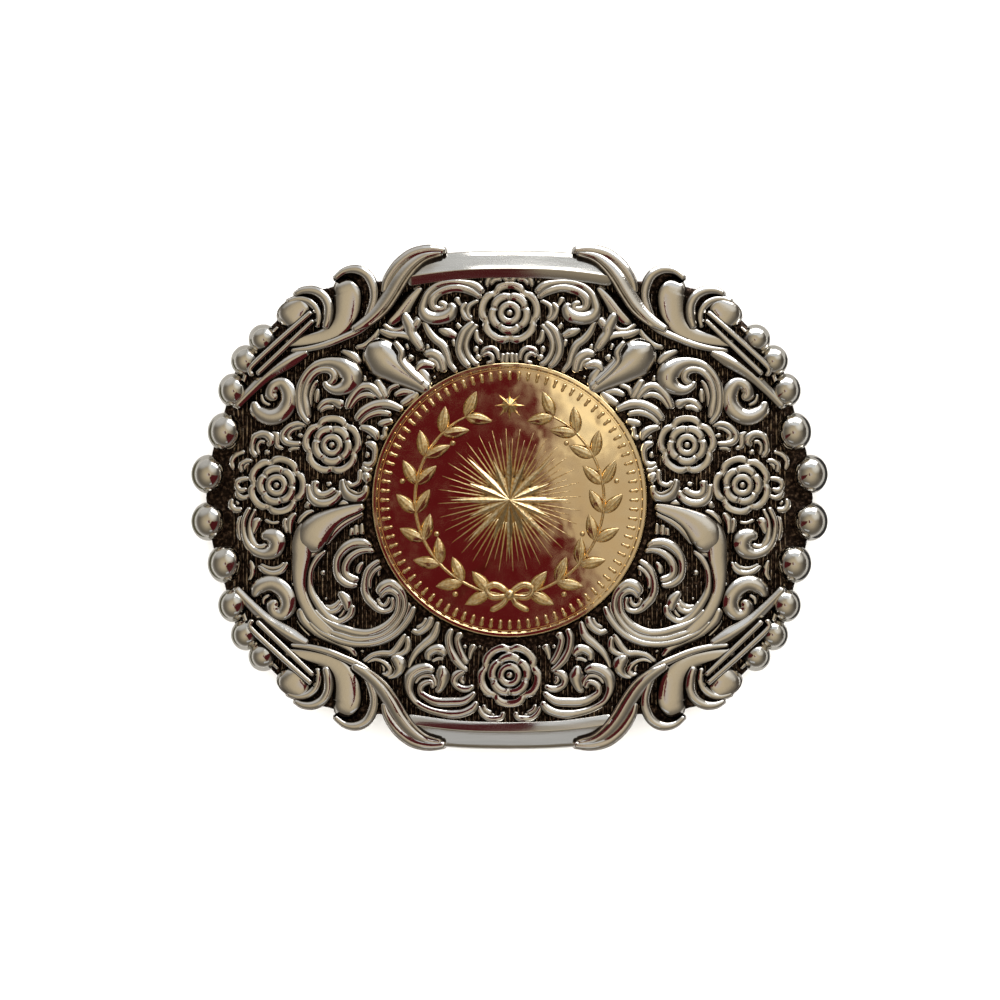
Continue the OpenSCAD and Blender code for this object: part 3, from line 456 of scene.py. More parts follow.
    (1.5, 0, [(-33.8, -8.9, 0.3), (-33, -9.6, 0.6), (-32, -9.9, 0.6), (-31, -9.7, 0.6), (-30.3, -9.1, 0.5),
        (-30, -8.4, 0.3)]),
    (1.3, 0, [(-33.5, -8.7, 0.3), (-32.6, -9.1, 0.3), (-31.8, -9.2, 0.3), (-31, -9, 0.3),
        (-30.4, -8.5, 0.3)]),
    (1, 0, [(-34.9, -8.2, 0.3), (-34.7, -9.2, 0.6), (-34.7, -10, 0.5), (-35.1, -10.8, 0.3)]),
    # round volute by the lower blade
    (2.1, 0, [(-34.5, -12.9, 0.8), (-34, -12, 1.4), (-33.1, -11.4, 1.6), (-32, -11.3, 1.7),
        (-30.7, -12, 1.8), (-29.9, -13.2, 1.8), (-29.9, -14.5, 1.7), (-30.7, -15.5, 1.5),
        (-31.7, -15.3, 1.4), (-32, -14.4, 1.4), (-31.7, -13.7, 0.9)]),
    (1.4, 0, [(-33.2, -14.1, 0.3), (-33.1, -13.3, 0.4), (-32.4, -12.8, 0.3)]),
    # large leaf scroll beside the medallion: leaf with its head, outer band, inner band, lips
    (2.3, 4, [(-19.7, -0.9, 0.5), (-20.6, -1.2, 0.9), (-22.2, -1.7, 1.3), (-23.9, -2.5, 2),
        (-25.3, -3.5, 2.9), (-26.3, -4.6, 3.3), (-26.8, -5.6, 2.9)]),
    (2, 4, [(-26.4, -3, 0.9), (-27.4, -4.1, 1.8), (-27.9, -5.8, 2.1), (-28, -7.5, 1.9), (-28.2, -9, 1.6),
        (-28.3, -10.6, 1.3), (-28.1, -12.3, 1.1), (-27.5, -14, 1.1), (-26.5, -15.7, 1.1), (-25.2, -17, 1.1),
        (-23.9, -18, 0.8)]),
    (1.7, 0, [(-24.9, -6.9, 0.4), (-25.9, -7.8, 0.6), (-26.7, -9.2, 0.6), (-26.9, -10.8, 0.6),
        (-26.7, -12.4, 0.8), (-25.9, -13.9, 0.9), (-25.1, -15, 0.9), (-24.2, -15.9, 0.9), (-23, -16.4, 0.7),
        (-22, -16, 0.6), (-21.3, -15.3, 0.7), (-21.1, -14.3, 0.6)]),
    (1.5, 0, [(-25.9, -6.9, 0.6), (-26.8, -7.3, 0.7), (-27.7, -7.2, 0.4)]),
    (1.3, 0, [(-28.4, -3.1, 0.4), (-27.9, -2.4, 0.6), (-27.2, -1.8, 0.6), (-26.4, -1.5, 0.4)]),
    (1.7, 0, [(-19.8, -1.8, 0.4), (-21, -2.4, 0.6), (-22.3, -3.1, 0.8), (-23.4, -4, 0.9), (-24.2, -5, 0.8),
        (-24.6, -5.8, 0.5)]),
    (1.1, 0, [(-21.3, -3.8, 0.4), (-21.3, -4.7, 0.5)]),
    (1.1, 0, [(-20.7, -3.4, 0.5), (-20.6, -4.6, 0.6)]),
    (1.1, 0, [(-19.9, -3.2, 0.3), (-19.8, -4.6, 0.4)]),
    # three bands of its lower end, nested, and the strip between them
    (1.9, 0, [(-26.2, -14.9, 0.3), (-25, -16.1, 0.4), (-23.4, -17, 0.7), (-22.2, -17.4, 0.8),
        (-20.7, -17.8, 0.8), (-19, -17.9, 0.8), (-17.4, -17.4, 0.8), (-16.1, -16.5, 0.7),
        (-15.2, -15.3, 0.5), (-14.9, -14, 0.5), (-15, -12.9, 0.5), (-15.8, -12.2, 0.7), (-16.7, -12.3, 0.6),
        (-17.3, -13, 0.4)]),
    (2, 0, [(-26.6, -15.8, 0.3), (-25.5, -16.9, 0.4), (-24.2, -17.7, 0.5), (-22.8, -18.2, 0.7),
        (-21, -18.7, 0.7), (-19.1, -18.7, 0.7), (-17.3, -18.3, 0.6), (-15.8, -17.3, 0.6),
        (-14.7, -15.9, 0.5), (-14.1, -14.4, 0.5), (-14.2, -13, 0.6), (-14.9, -11.9, 0.9),
        (-15.9, -11.3, 1.1), (-16.9, -11.6, 1.1), (-17.6, -12.4, 0.8)]),
    (1.9, 0, [(-26.9, -16.5, 0.3), (-25.6, -17.7, 0.4), (-24, -18.5, 0.5), (-22.3, -19.1, 0.6),
        (-20.4, -19.4, 0.6), (-18.2, -19.3, 0.6), (-16.3, -18.6, 0.6), (-14.7, -17.4, 0.6),
        (-13.4, -15.7, 0.6), (-12.8, -14.4, 0.4)]),
    (1.4, 0, [(-15.2, -17.3, 0.4), (-14.2, -16, 0.6), (-13.6, -14.6, 0.6), (-13.6, -13.8, 0.4)]),
    (1.7, 0, [(-28.2, -14.9, 1), (-27.7, -16.2, 1.1), (-26.4, -17.5, 1), (-25.2, -18.3, 0.9),
        (-23.8, -18.9, 0.9), (-22.4, -19.5, 0.9), (-21.4, -20.1, 0.8), (-20.7, -21, 0.5)]),
    (1.1, 0, [(-28.6, -16.2, 0.3), (-27.9, -17.3, 0.4), (-26.9, -18.3, 0.3)]),
    # curls inside them
    (1.8, 0, [(-18.6, -6.2, 0.4), (-19.5, -5.8, 0.8), (-20.9, -5.8, 1), (-22.2, -6.5, 1),
        (-23.1, -7.7, 0.8), (-23.3, -9.1, 0.7), (-23, -10.4, 0.7), (-22.1, -11.2, 0.7), (-21.1, -11.5, 0.5),
        (-20.5, -11.4, 0.3)]),
    (1.6, 0, [(-18.3, -6.9, 0.4), (-19.2, -6.7, 0.6), (-20.4, -7, 0.7), (-21.5, -7.8, 0.8),
        (-22.1, -8.9, 0.8), (-22, -10, 0.8), (-21.3, -10.6, 0.9), (-20.4, -10.7, 0.6)]),
    (1.2, 0, [(-19.8, -8.4, 0.4), (-20.2, -9.1, 0.8), (-20.4, -9.8, 0.6)]),
    (1.7, 0, [(-17.5, -8.2, 0.4), (-18.2, -8.6, 0.5), (-19, -9.4, 0.6), (-19.4, -10.6, 0.6),
        (-19.5, -12, 0.8), (-19.1, -13.2, 0.8), (-18.4, -14, 0.8), (-17.7, -14.7, 0.6), (-16.8, -15, 0.5),
        (-15.9, -14.7, 0.5), (-15.6, -13.9, 0.4), (-15.8, -13.1, 0.4)]),
    (1.5, 0, [(-17.3, -9, 0.4), (-18.2, -9.6, 0.4), (-18.8, -10.7, 0.5), (-18.8, -11.8, 0.4)]),
    (1.1, 0, [(-17.6, -9.4, 0.3), (-17.6, -10.2, 0.3)]),
    (1.4, 0, [(-17.7, -13.3, 0.4), (-17.4, -14, 0.4), (-16.8, -14.2, 0.4), (-16.3, -13.6, 0.4),
        (-16.3, -13, 0.3)]),
    (1.6, 0, [(-25.6, -13.9, 0.6), (-24.9, -14.7, 0.5), (-24, -15.1, 0.5), (-23, -14.7, 0.5),
        (-22.6, -14, 0.4)]),
    (1.4, 0, [(-24.9, -14.3, 0.3), (-24, -14.5, 0.6), (-23.2, -14.1, 0.6), (-22.8, -13.5, 0.4)]),
    (1.7, 0, [(-22.8, -12.5, 0.7), (-22.2, -13.2, 1.1), (-21.8, -14, 1.1), (-21.8, -14.7, 0.7)]),
    (1.2, 0, [(-23, -15.8, 0.3), (-22.5, -15.3, 0.4), (-22.2, -14.7, 0.3)]),
    # between the leaf scroll and the bottom scroll
    (1.6, 0, [(-19.6, -21.8, 0.4), (-18.5, -20.9, 0.6), (-17.2, -20.6, 0.7), (-16, -20.6, 0.7),
        (-15.3, -20, 0.7), (-14.7, -19.1, 0.7), (-14.1, -18.1, 0.5)]),
    (1.5, 0, [(-15.4, -20.8, 0.5), (-14.6, -20.7, 0.5), (-13.8, -20.1, 0.6), (-13.6, -19.2, 0.6),
        (-13.8, -18.4, 0.4)]),
    (1.5, 0, [(-19.2, -21.9, 0.3), (-18.2, -21.5, 0.4), (-17.2, -21.7, 0.4), (-16.4, -22.3, 0.5),
        (-16.1, -23, 0.5), (-16.6, -23.6, 0.6), (-17.1, -23.4, 0.4)]),
    (1.2, 0, [(-17.2, -22.1, 0.2), (-16.9, -22.6, 0.3), (-17, -23.1, 0.3)]),
    (1.8, 0, [(-15.5, -21.2, 1), (-14.9, -21.9, 1.5), (-14.8, -22.8, 1.2), (-15.4, -23.6, 0.6),
        (-16.4, -24, 0.3)]),
    (1.2, 0, [(-12.4, -20.2, 0.3), (-13.1, -21.5, 0.4), (-13.4, -22.4, 0.3)]),
    (1.5, 0, [(-10.5, -15.8, 0.6), (-10.8, -16.6, 0.8), (-11.4, -17.3, 0.7), (-12.3, -17.8, 0.6),
        (-13.1, -17.5, 0.4)]),
    (1.3, 0, [(-11.2, -15.9, 0.3), (-11.7, -16.7, 0.3), (-12.5, -17.1, 0.3)]),
    (1.5, 0, [(-9.6, -16.4, 0.4), (-9.9, -17.6, 0.8), (-10.4, -18.5, 0.9), (-11.5, -19.4, 0.8),
        (-12.5, -20.4, 0.7), (-13.2, -21.6, 0.5), (-13.5, -22.6, 0.3)]),
    (1.6, 0, [(-7.8, -17.4, 0.5), (-8.2, -18.5, 0.7), (-8, -20, 0.7), (-7.3, -21.4, 0.8),
        (-6.4, -22.4, 0.6), (-5.7, -22.9, 0.4)]),
    (1.5, 0, [(-6.6, -18, 0.7), (-7, -18.7, 0.6), (-6.8, -19.8, 0.6), (-6.3, -21, 0.6),
        (-5.7, -21.9, 0.5)]),
    (1.3, 0, [(-5.4, -21.4, 0.3), (-5.2, -20.4, 0.5), (-4.8, -19.6, 0.7)]),
    (1.6, 0, [(-10.9, -21.5, 0.5), (-10.9, -20.7, 0.8), (-10.1, -20.1, 1), (-9.2, -20.2, 1.1),
        (-8.7, -20.8, 0.6)]),
    (1.2, 0, [(-10.4, -21.7, 0.3), (-9.6, -21.3, 0.3), (-8.9, -21.3, 0.3)]),
    # scroll beside the bottom flower: outer band, leaf at its end, inner hook
    (2, 0, [(-4.4, -27.2, 0.5), (-5, -28, 0.8), (-6.2, -28.6, 0.8), (-7.6, -28.8, 0.9), (-9.2, -28.6, 0.7),
        (-11, -28.1, 0.6), (-12.6, -27.2, 0.6), (-13.4, -26, 0.8), (-13.6, -24.9, 1), (-13.3, -23.7, 1.2),
        (-12.4, -22.9, 1.2), (-11.2, -22.6, 1), (-10.3, -22.9, 0.6)]),
    (1.9, 0, [(-9.1, -22.5, 0.8), (-9, -23.5, 1.5), (-9, -24.4, 1.1), (-9.4, -25.4, 0.7),
        (-9.9, -25.7, 0.4)]),
    (1.5, 0, [(-12.7, -24.6, 0.3), (-11.9, -23.7, 0.4), (-10.7, -23.6, 0.4), (-10.1, -24.2, 0.4),
        (-9.9, -25, 0.3)]),
    (1.8, 0, [(-10.3, -25.2, 0.4), (-10.5, -24.5, 0.4), (-11.2, -24.5, 0.5), (-11.9, -25, 0.6),
        (-12, -25.8, 0.6), (-11.4, -26.4, 0.7), (-10.3, -27, 0.9), (-9.2, -27.2, 1), (-7.9, -27.2, 1),
        (-6.4, -27.1, 0.9), (-5.4, -26.6, 0.7), (-4.7, -25.9, 0.4)]),
    (1.5, 0, [(-6.1, -23, 0.5), (-7, -23.4, 0.8), (-7.5, -24.1, 0.8), (-7.2, -24.9, 0.6),
        (-6.4, -25.4, 0.7), (-5.5, -25.4, 0.7), (-4.9, -25, 0.4)]),
    (1.2, 0, [(-6.3, -23.7, 0.4), (-6.5, -24.2, 0.4), (-6.1, -24.7, 0.3)]),
    (1.4, 0, [(-4.2, -27.8, 0.4), (-3.7, -28.7, 0.5), (-2.9, -29.3, 0.5), (-1.9, -29.4, 0.6),
        (-1.1, -29.2, 0.5), (-0.8, -28.6, 0.5)]),
    (1.3, 0, [(-3.5, -27.6, 0.4), (-3.2, -28.2, 0.4), (-2.5, -28.6, 0.4)]),
]
# the bar at the top, which the bottom one mirrors
BAR = (2.3, 2, [(-15.1, 29.9, 3), (-13.2, 30.7, 3.85), (-7, 31.45, 3.75), (0, 31.65, 3.7), (7, 31.45, 3.75),
                (13.2, 30.7, 3.85), (15.1, 29.9, 3)])
# across the bar from its inner to its outer foot: place and share of the height
BAR_FACE = np.array([(-1, 0), (-0.99, 0.7), (-0.98, 0.745), (-0.965, 0.755), (-0.6, 0.93), (-0.38, 0.985),
                     (-0.34, 1), (-0.3, 0.985), (-0.26, 0.965), (0.1, 0.855), (0.6, 0.7), (0.88, 0.61),
                     (0.92, 0.58), (0.95, 0.5), (0.975, 0.38), (1, 0)])
# a strand's black foot adds to its width: a share of it and a length
FIELD_WIDER, CORNER_WIDER = (1.33, 0.2), (1.14, 0.0)
# places across a strand, close together at its steep sides
ACROSS = np.sin(np.linspace(-np.pi / 2, np.pi / 2, 13))
DOME, FLAT_DOME = 0.6, 0.3               # height of the dome in half widths, round or nearly flat
DOME_MOST = 0.66                         # the dome's largest share of a strand's height
ROUND, RIDGE, FLAT = 2, 1.15, 3.5        # power of the curve across the dome
CREST = 0.22                             # how far the crest lies from the middle beside a groove
GROOVE_AT, GROOVE_W, GROOVE_DEEP = 0.5, 0.1, 0.3
CAP = 0.42                               # reach of a round end beyond its route, in widths
END_RISE, END_WIDTH = 0.35, 0.15         # shares of the height and width that an end begins with
THIN = 0.2                               # the least width


def left_of(line):
    """Unit vectors to the left of a line, one at each of its points."""
    d = np.gradient(line, axis=0)
    return np.column_stack([-d[:, 1], d[:, 0]]) / np.maximum(np.linalg.norm(d, axis=1), 1e-9)[:, None]


def with_feet(xy, z, low):
    """Rings of points across a strand, with one more at height low under each of its edges."""
    return np.concatenate([np.dstack([xy[:, :1], low[:, :1]]), np.dstack([xy, z]),
                           np.dstack([xy[:, -1:], low[:, -1:]])], 1)


def strand(row, wider=(1.0, 0.0), step=0.22):
    """One strand as rings of points, each with how far it is rubbed bright: an upright wall under a dome."""
    height, face, route = row
    route = np.array(route) * (1, 1, wider[0]) + (0, 0, wider[1])
    if face != 2:
        # a route runs between the middles of its two round ends
        out = route[[0, -1]] - route[[1, -2]]
        out[:, 2] = 0
        caps = route[[0, -1]] + out / np.linalg.norm(out, axis=1)[:, None] * CAP * route[[0, -1], 2:]
        route = np.vstack([caps[:1], route, caps[1:]])
    line, run = smooth_line(route, step)
    half = np.maximum(line[:, 2], THIN) / 2
    line = line[:, :2]
    # both ends are rounded off over their own half width
    near = np.minimum(run / max(half[0], THIN), (run[-1] - run) / max(half[-1], THIN))
    end = np.sqrt(np.clip(1 - (1 - np.clip(near, 0, 1)) ** 2, 0.02, 1))
    rise = height * (0.6 + 0.4 * np.sqrt(half / half.max())) * (END_RISE + (1 - END_RISE) * end)
    u = np.ones((len(line), 1)) * (BAR_FACE[:, 0] if face == 2 else ACROSS)
    cut = np.zeros_like(u)
    if face == 2:
        f = BAR_FACE[:, 1] * np.ones_like(u)
    else:
        dome = np.minimum(DOME_MOST, (FLAT_DOME if face == 4 else DOME) * half / rise)[:, None]
        crest = CREST * face if abs(face) == 1 else 0
        v = np.where(u > crest, (u - crest) / (1 - crest), (u - crest) / (1 + crest))
        f = np.where(np.abs(u) < 1, 1 - dome * np.abs(v) ** {3: RIDGE, 4: FLAT}.get(face, ROUND), 0)
    if abs(face) == 1:
        share = run / run[-1]
        fade = np.clip(share / 0.08, 0, 1) * np.clip((0.9 - share) / 0.2, 0, 1)
        cut = np.exp(-((u - GROOVE_AT * face) / GROOVE_W) ** 2) * fade[:, None]
    xy = line[:, None, :] + left_of(line)[:, None, :] * (
        u * (half * (END_WIDTH + (1 - END_WIDTH) * end))[:, None])[:, :, None]
    floor_z = ground(xy[:, :, 0])
    ring = with_feet(xy, floor_z + f * (1 - GROOVE_DEEP * cut) * rise[:, None], floor_z - ROOT)
    bright = np.clip(1.7 * f if face == 2 else 1.3 * (1 - u ** 2) ** 0.75, 0, 1) * (1 - 0.8 * cut)
    return ring, np.pad(bright, ((0, 0), (1, 1)))


def add_strand(mesh, ring, bright, flip=(1, 1), about=0.0):
    """Adds a strand to lists of verts, faces and rubbed values, mirrored about x = 0 and y = about."""
    verts, faces, rubbed = mesh
    faces.extend(tube_faces(*ring.shape[:2], len(verts)))
    verts.extend(((ring - (0, about, 0)) * (*flip, 1) + (0, about, 0)).reshape(-1, 3))
    rubbed.extend(bright.reshape(-1))


# Antiqued bright nickel: mirror plate over a smooth casting, warm grey. The black left by the bath
# stays at the foot of each strand and in its grooves; fine rubbing marks cloud the shine a little.
nickel_parts = new_material("rubbed_bright_nickel")
t = nickel_parts[1]
where = node(t, "ShaderNodeTexCoord").outputs["Object"]
rubbed_in = node(t, "ShaderNodeAttribute", attribute_name="rubbed").outputs["Fac"]
patch = node(t, "ShaderNodeTexNoise", {"Vector": where}, {"Scale": 1100.0, "Detail": 5.0, "Roughness": 0.6})
uneven = node(t, "ShaderNodeMath", {0: patch.outputs["Fac"]}, {1: 0.4, 2: -0.2}, operation="MULTIPLY_ADD")
level = node(t, "ShaderNodeMath", {0: rubbed_in, 1: uneven.outputs[0]}, operation="ADD").outputs[0]
nickel = plate_metal(nickel_parts, where, level, [(0.08, "#0B0908"), (0.26, "#3F362F"), (0.5, "#A0988D"),
                     (0.74, "#E6E2DC")], [(0.15, 0.4), (0.6, 0.09)], 0.4, 0.012)

upper, lower, corners, bars = [([], [], []) for _ in range(4)]
for row in FIELD:
    ring, bright = strand(row, FIELD_WIDER)
    for sx in (1, -1):
        add_strand(upper if row[2][0][1] > 0 else lower, ring, bright, (sx, 1))
for row in CORNER:
    ring, bright = strand(row, CORNER_WIDER)
    for sx in (1, -1):
        for sy in (1, -1):
            add_strand(corners, ring, bright, (sx, sy), MID_Y)
for name, mesh in (("field_scrolls_upper", upper), ("field_scrolls_lower", lower),
                   ("corner_scrolls", corners)):
    new_piece(name, "casting", nickel, *mesh)
ring, bright = strand(BAR, step=0.4)
for sy in (1, -1):
    add_strand(bars, ring, bright, (1, sy))
# Brushed nickel on the bars: fine lines run along them, and fray whatever they mirror.
brushed = metal_finish("brushed_nickel_bars", 1.2, [(0.3, "#D3CFC7"), (0.7, "#E2DED7")], (0.1, 0.2), 0.35,
                       0.009, 3.0, (0.1, 1, 1))
new_piece("frame_bars", "casting", brushed, *bars)


# Flowers: five-fold cast roses, rings of petals one inside the other round a button, with deep black
# grooves between the rings. The scalloped outer ring has a notch at each petal.
# x, y, radius, turn
FLOWERS = [(-23.9, 7.4, 4, 0.3), (23.9, 7.4, 4, 2.84), (-31.4, 2, 4, 1.2), (31.4, 2, 4, 1.94),
           (0, 25.1, 4.2, 1.57), (0, -23.5, 4.3, -1.57)]
PETALS = 5
# middle of a ring and half its width as shares of the radius, height, depth of the scallops, and 1
# where its petals stand in the notches of the ring outside it
PETAL_RINGS = [(0.87, 0.155, 1.5, 0.1, 0), (0.545, 0.14, 1.8, 0.05, 1), (0.27, 0.115, 1.95, 0.0, 0),
               (0.0, 0.11, 1.9, 0.0, 0)]
PETAL_DOME = 0.38                        # height of a petal's dome in half widths
NOTCH_DEEP, NOTCH_W = 0.12, 0.16
FLOWER_FLOOR = 0.25                      # height of the grooves
ANGLES, STEPS = 90, 44
roses = ([], [], [])
a = np.linspace(0, 2 * np.pi, ANGLES, endpoint=False)


def flower_ring(x, y, r, height, shine):
    """Adds one ring of a flower to its mesh."""
    px, py = x + r * np.cos(a), y + r * np.sin(a)
    roses[0].extend(np.column_stack([px, py, ground(px) + height]))
    roses[2].extend(shine)


for x, y, radius, turned in FLOWERS:
    roses[1].extend(tube_faces(STEPS + 1, ANGLES, len(roses[0])))
    flower_ring(x, y, radius, -ROOT, np.zeros(ANGLES))
    for share in np.linspace(1.0, 0.012, STEPS):
        height, shine = np.full(ANGLES, FLOWER_FLOOR), np.zeros(ANGLES)
        for middle, half, rise, scallop, other in PETAL_RINGS:
            petal = np.abs(np.cos(PETALS / 2 * (a - turned) + other * np.pi / 2))
            swing = 1 + scallop * (petal ** 0.6 - 0.7) * 2
            dome = np.clip(1 - ((share / swing - middle) / half) ** 2, 0, 1)
            crease = 1 - NOTCH_DEEP * np.exp(-(petal / NOTCH_W) ** 2) * (scallop > 0)
            lift = np.where(dome > 0, (rise - PETAL_DOME * half * radius * (1 - dome)) * crease, 0)
            shine = np.where(lift > height, np.minimum(1.3 * dome ** 0.75, 1), shine)
            height = np.maximum(height, lift)
        flower_ring(x, y, radius * share, height, shine)
new_piece("flowers", "casting", nickel, *roses)


# Ground between the scrolls: upright ribs cut by hand in the die, one every 0.6 mm or so, uneven and
# broken, half lost in the black. One node tree sets a rib on each point and stretches it to its length.
RIB_STEP, RIB_W, RIB_H = 0.6, 0.46, 0.4
RIB_REACH = 37.2                         # the last rib's distance from the middle
RIB_ROOM, RIB_FREE_R = 1.3, 19.8         # room to the plate's edge, and the circle free round the medallion
RIB_SHORT, RIB_LONG = 1.6, 5.0
# along a rib: place and size; across it: place and height
RIB_ALONG = ((-1, 0.15), (-0.9, 0.8), (-0.5, 1), (0.5, 1), (0.9, 0.8), (1, 0.15))
RIB_ACROSS = ((-1, 0), (-0.6, 0.75), (0, 1), (0.6, 0.75), (1, 0), (0, -0.3))
edge = smooth_line(PLATE_EDGE, 0.1)[0]
hand = random.Random(4)
ribs = []
for x in np.arange(-RIB_REACH, RIB_REACH + 0.1, RIB_STEP):
    top = float(np.interp(-abs(x), edge[::-1, 0], edge[::-1, 1])) - RIB_ROOM
    low = math.sqrt(max(0.0, RIB_FREE_R ** 2 - x * x))
    for y, y1 in (((low, top), (2 * MID_Y - top, -low)) if low else ((2 * MID_Y - top, top),)):
        while y1 - y > 0.8:
            long = min(hand.uniform(RIB_SHORT, RIB_LONG), y1 - y)
            ribs.append((x + hand.uniform(-0.06, 0.06), y + long / 2, float(ground(x)) - 0.02,
                         hand.uniform(-0.03, 0.03), hand.uniform(0.75, 1.15), long / 2 - 0.1,
                         hand.uniform(0.6, 1.1)))
            y += long


def small_part(name, verts, rings):
    """A part in millimetres about its own origin, from points in rings, to be set on points."""
    return add_object(name, new_mesh(name, verts, tube_faces(rings, len(verts) // rings)))


def set_on_points(name, cad_node, material, part, rows):
    """A piece made of a part on points, each x, y, z, turn and three stretches, by Geometry Nodes."""
    p = np.array(rows, float)
    mesh = bpy.data.meshes.new(name)
    mesh.from_pydata(((p[:, :3] - (0, MID_Y, 0)) * MM).tolist(), [], [])
    for label, values in (("turn", p[:, 3:4] * (0, 0, 1)), ("stretch", p[:, 4:7])):
        mesh.attributes.new(label, "FLOAT_VECTOR", "POINT").data.foreach_set("vector", values.ravel())
    piece = add_object(name, mesh)
    tree = bpy.data.node_groups.new(name, "GeometryNodeTree")
    for way_of in ("INPUT", "OUTPUT"):
        tree.interface.new_socket("Geometry", in_out=way_of, socket_type="NodeSocketGeometry")
    points_in = node(tree, "NodeGroupInput").outputs["Geometry"]
    shape = node(tree, "GeometryNodeObjectInfo", inputs={"Object": part}).outputs["Geometry"]
    turn_by, stretch = [node(tree, "GeometryNodeInputNamedAttribute", inputs={"Name": label},
                             data_type="FLOAT_VECTOR").outputs["Attribute"] for label in ("turn", "stretch")]
    placed = node(tree, "GeometryNodeInstanceOnPoints", {"Points": points_in, "Instance": shape,
                  "Rotation": turn_by, "Scale": stretch}).outputs["Instances"]
    real = node(tree, "GeometryNodeRealizeInstances", {"Geometry": placed}).outputs["Geometry"]
    node(tree, "NodeGroupOutput", {"Geometry": real})
    piece.modifiers.new(name, "NODES").node_group = tree
    # the result is kept as a plain mesh, without the empty material slot that it comes with
    made = bpy.data.meshes.new_from_object(piece.evaluated_get(bpy.context.evaluated_depsgraph_get()))
    made.materials.clear()
    piece.modifiers.clear()
    piece.data = made
    bpy.data.objects.remove(part)
    dress(piece, cad_node, material)


# Black nickel on the ribs: as the ground, but caught a little by the rubbing wheel.
rib_black = metal_finish("rubbed_black_nickel", 0.8,
                         [(0.32, "#2A231E"), (0.47, "#75665A"), (0.66, "#BFAE98")], (0.45, 0.25), 0.25, 0.03)
verts = [(RIB_W / 2 * share * c, y, RIB_H * share * h) for y, share in RIB_ALONG for c, h in RIB_ACROSS]
set_on_points("ground_ribs", "casting", rib_black, small_part("rib", verts, len(RIB_ALONG)), ribs)


# Edge beads and the small dots of the field: round and slightly egg-shaped, cast with the plate and
# polished to a mirror. The node tree of the ribs sets a ball on each point, stretched by its numbers.
BEAD_FULL = 1.03                         # a bead's radius over the one that the outline goes round
BEAD_LIFT = 0.42                         # height of its middle over the plate, in its radius
KNOB_LIFT = 0.9
# x, y, radius
KNOBS = [(-13.3, 19.1, 0.65), (-3.9, 29.3, 0.3), (-10.1, 16.5, 0.25), (-29.1, -11.4, 0.35),
         (-25.1, -9.8, 0.45), (-6, -19.7, 0.35), (-4, -19.7, 0.2), (-19.8, -20.3, 0.35),
         (-30.9, -14.7, 0.25), (-2.2, -28.9, 0.3), (-24.7, -13.3, 0.25), (-8.2, -23.5, 0.2)]

# Mirror nickel: the same plate buffed on a wheel; a faint haze is all that clouds it.
mirror_nickel = metal_finish("buffed_mirror_nickel", 1.6, [(0.3, "#D9D6CF"), (0.7, "#E4E1DB")], (0.09, 0.15),
                             0.8, 0.006)


def ball(name, segments, rings):
    """A ball of radius 1 mm, with a tiny flat at either pole."""
    verts = []
    for i in range(rings + 1):
        down = math.pi * (i + 0.02) / (rings + 0.04)
        verts += [(math.sin(down) * math.cos(2 * math.pi * j / segments),
                   math.sin(down) * math.sin(2 * math.pi * j / segments), math.cos(down))
                  for j in range(segments)]
    return small_part(name, verts, rings + 1)


points = []
for x, y, size, stretch in BEADS:
    r = size * BEAD_R * BEAD_FULL
    points += [(*q[0], float(ground(x)) + BEAD_LIFT * r, 0, r, r * stretch, r)
               for q in four_quarters([(x, y)])]
set_on_points("edge_beads", "casting", mirror_nickel, ball("bead", 48, 28), points)
points = [(sx * x, y, float(ground(x)) + KNOB_LIFT, 0, r, r, r) for x, y, r in KNOBS for sx in (1, -1)]
set_on_points("field_dots", "casting", mirror_nickel, ball("dot", 20, 12), points)


# Medallion: a struck brass disc, gold plated and polished, laid in its round seat. Plain rim, a thin
# line inside it, and a flat mirror field.
RIM_W, RIM_H, COIN_T = 0.6, 0.35, 1.9
COIN_TOP = COIN_Z + COIN_T
FIELD_Z, RIM_IN = COIN_TOP - RIM_H, COIN_R - RIM_W
LINE_DEEP = 0.08
COIN_N = 256
profile = [(0.02, COIN_Z), (COIN_R - 0.15, COIN_Z), (COIN_R, COIN_Z + 0.15), (COIN_R, COIN_TOP - 0.16),
           (COIN_R - 0.05, COIN_TOP - 0.05), (COIN_R - 0.16, COIN_TOP), (RIM_IN + 0.12, COIN_TOP),
           (RIM_IN + 0.02, COIN_TOP - 0.08), (RIM_IN - 0.1, FIELD_Z - LINE_DEEP),
           (RIM_IN - 0.25, FIELD_Z - LINE_DEEP), (RIM_IN - 0.32, FIELD_Z), (12, FIELD_Z), (6, FIELD_Z),
           (0.02, FIELD_Z)]
verts = [(r * math.cos(q), r * math.sin(q), z) for r, z in profile
         for q in np.linspace(0, 2 * np.pi, COIN_N, endpoint=False)]

# Polished gold plate: a pale, warm mirror. The field waves a little, as struck metal does, so what it
# mirrors breaks up at its edges; a haze of handling shows only in its shine.
gold_field = metal_finish("polished_gold_field", 2.2, [(0.3, "#EFD3A0"), (0.7, "#F4DDAE")], (0.03, 0.1), 5.0,
                          0.03, 2.0)
disc = new_piece("medallion_disc", "coin", gold_field, verts, tube_faces(len(profile), COIN_N))
for poly in disc.data.polygons:
    poly.use_smooth = abs(poly.normal.z) < 0.98


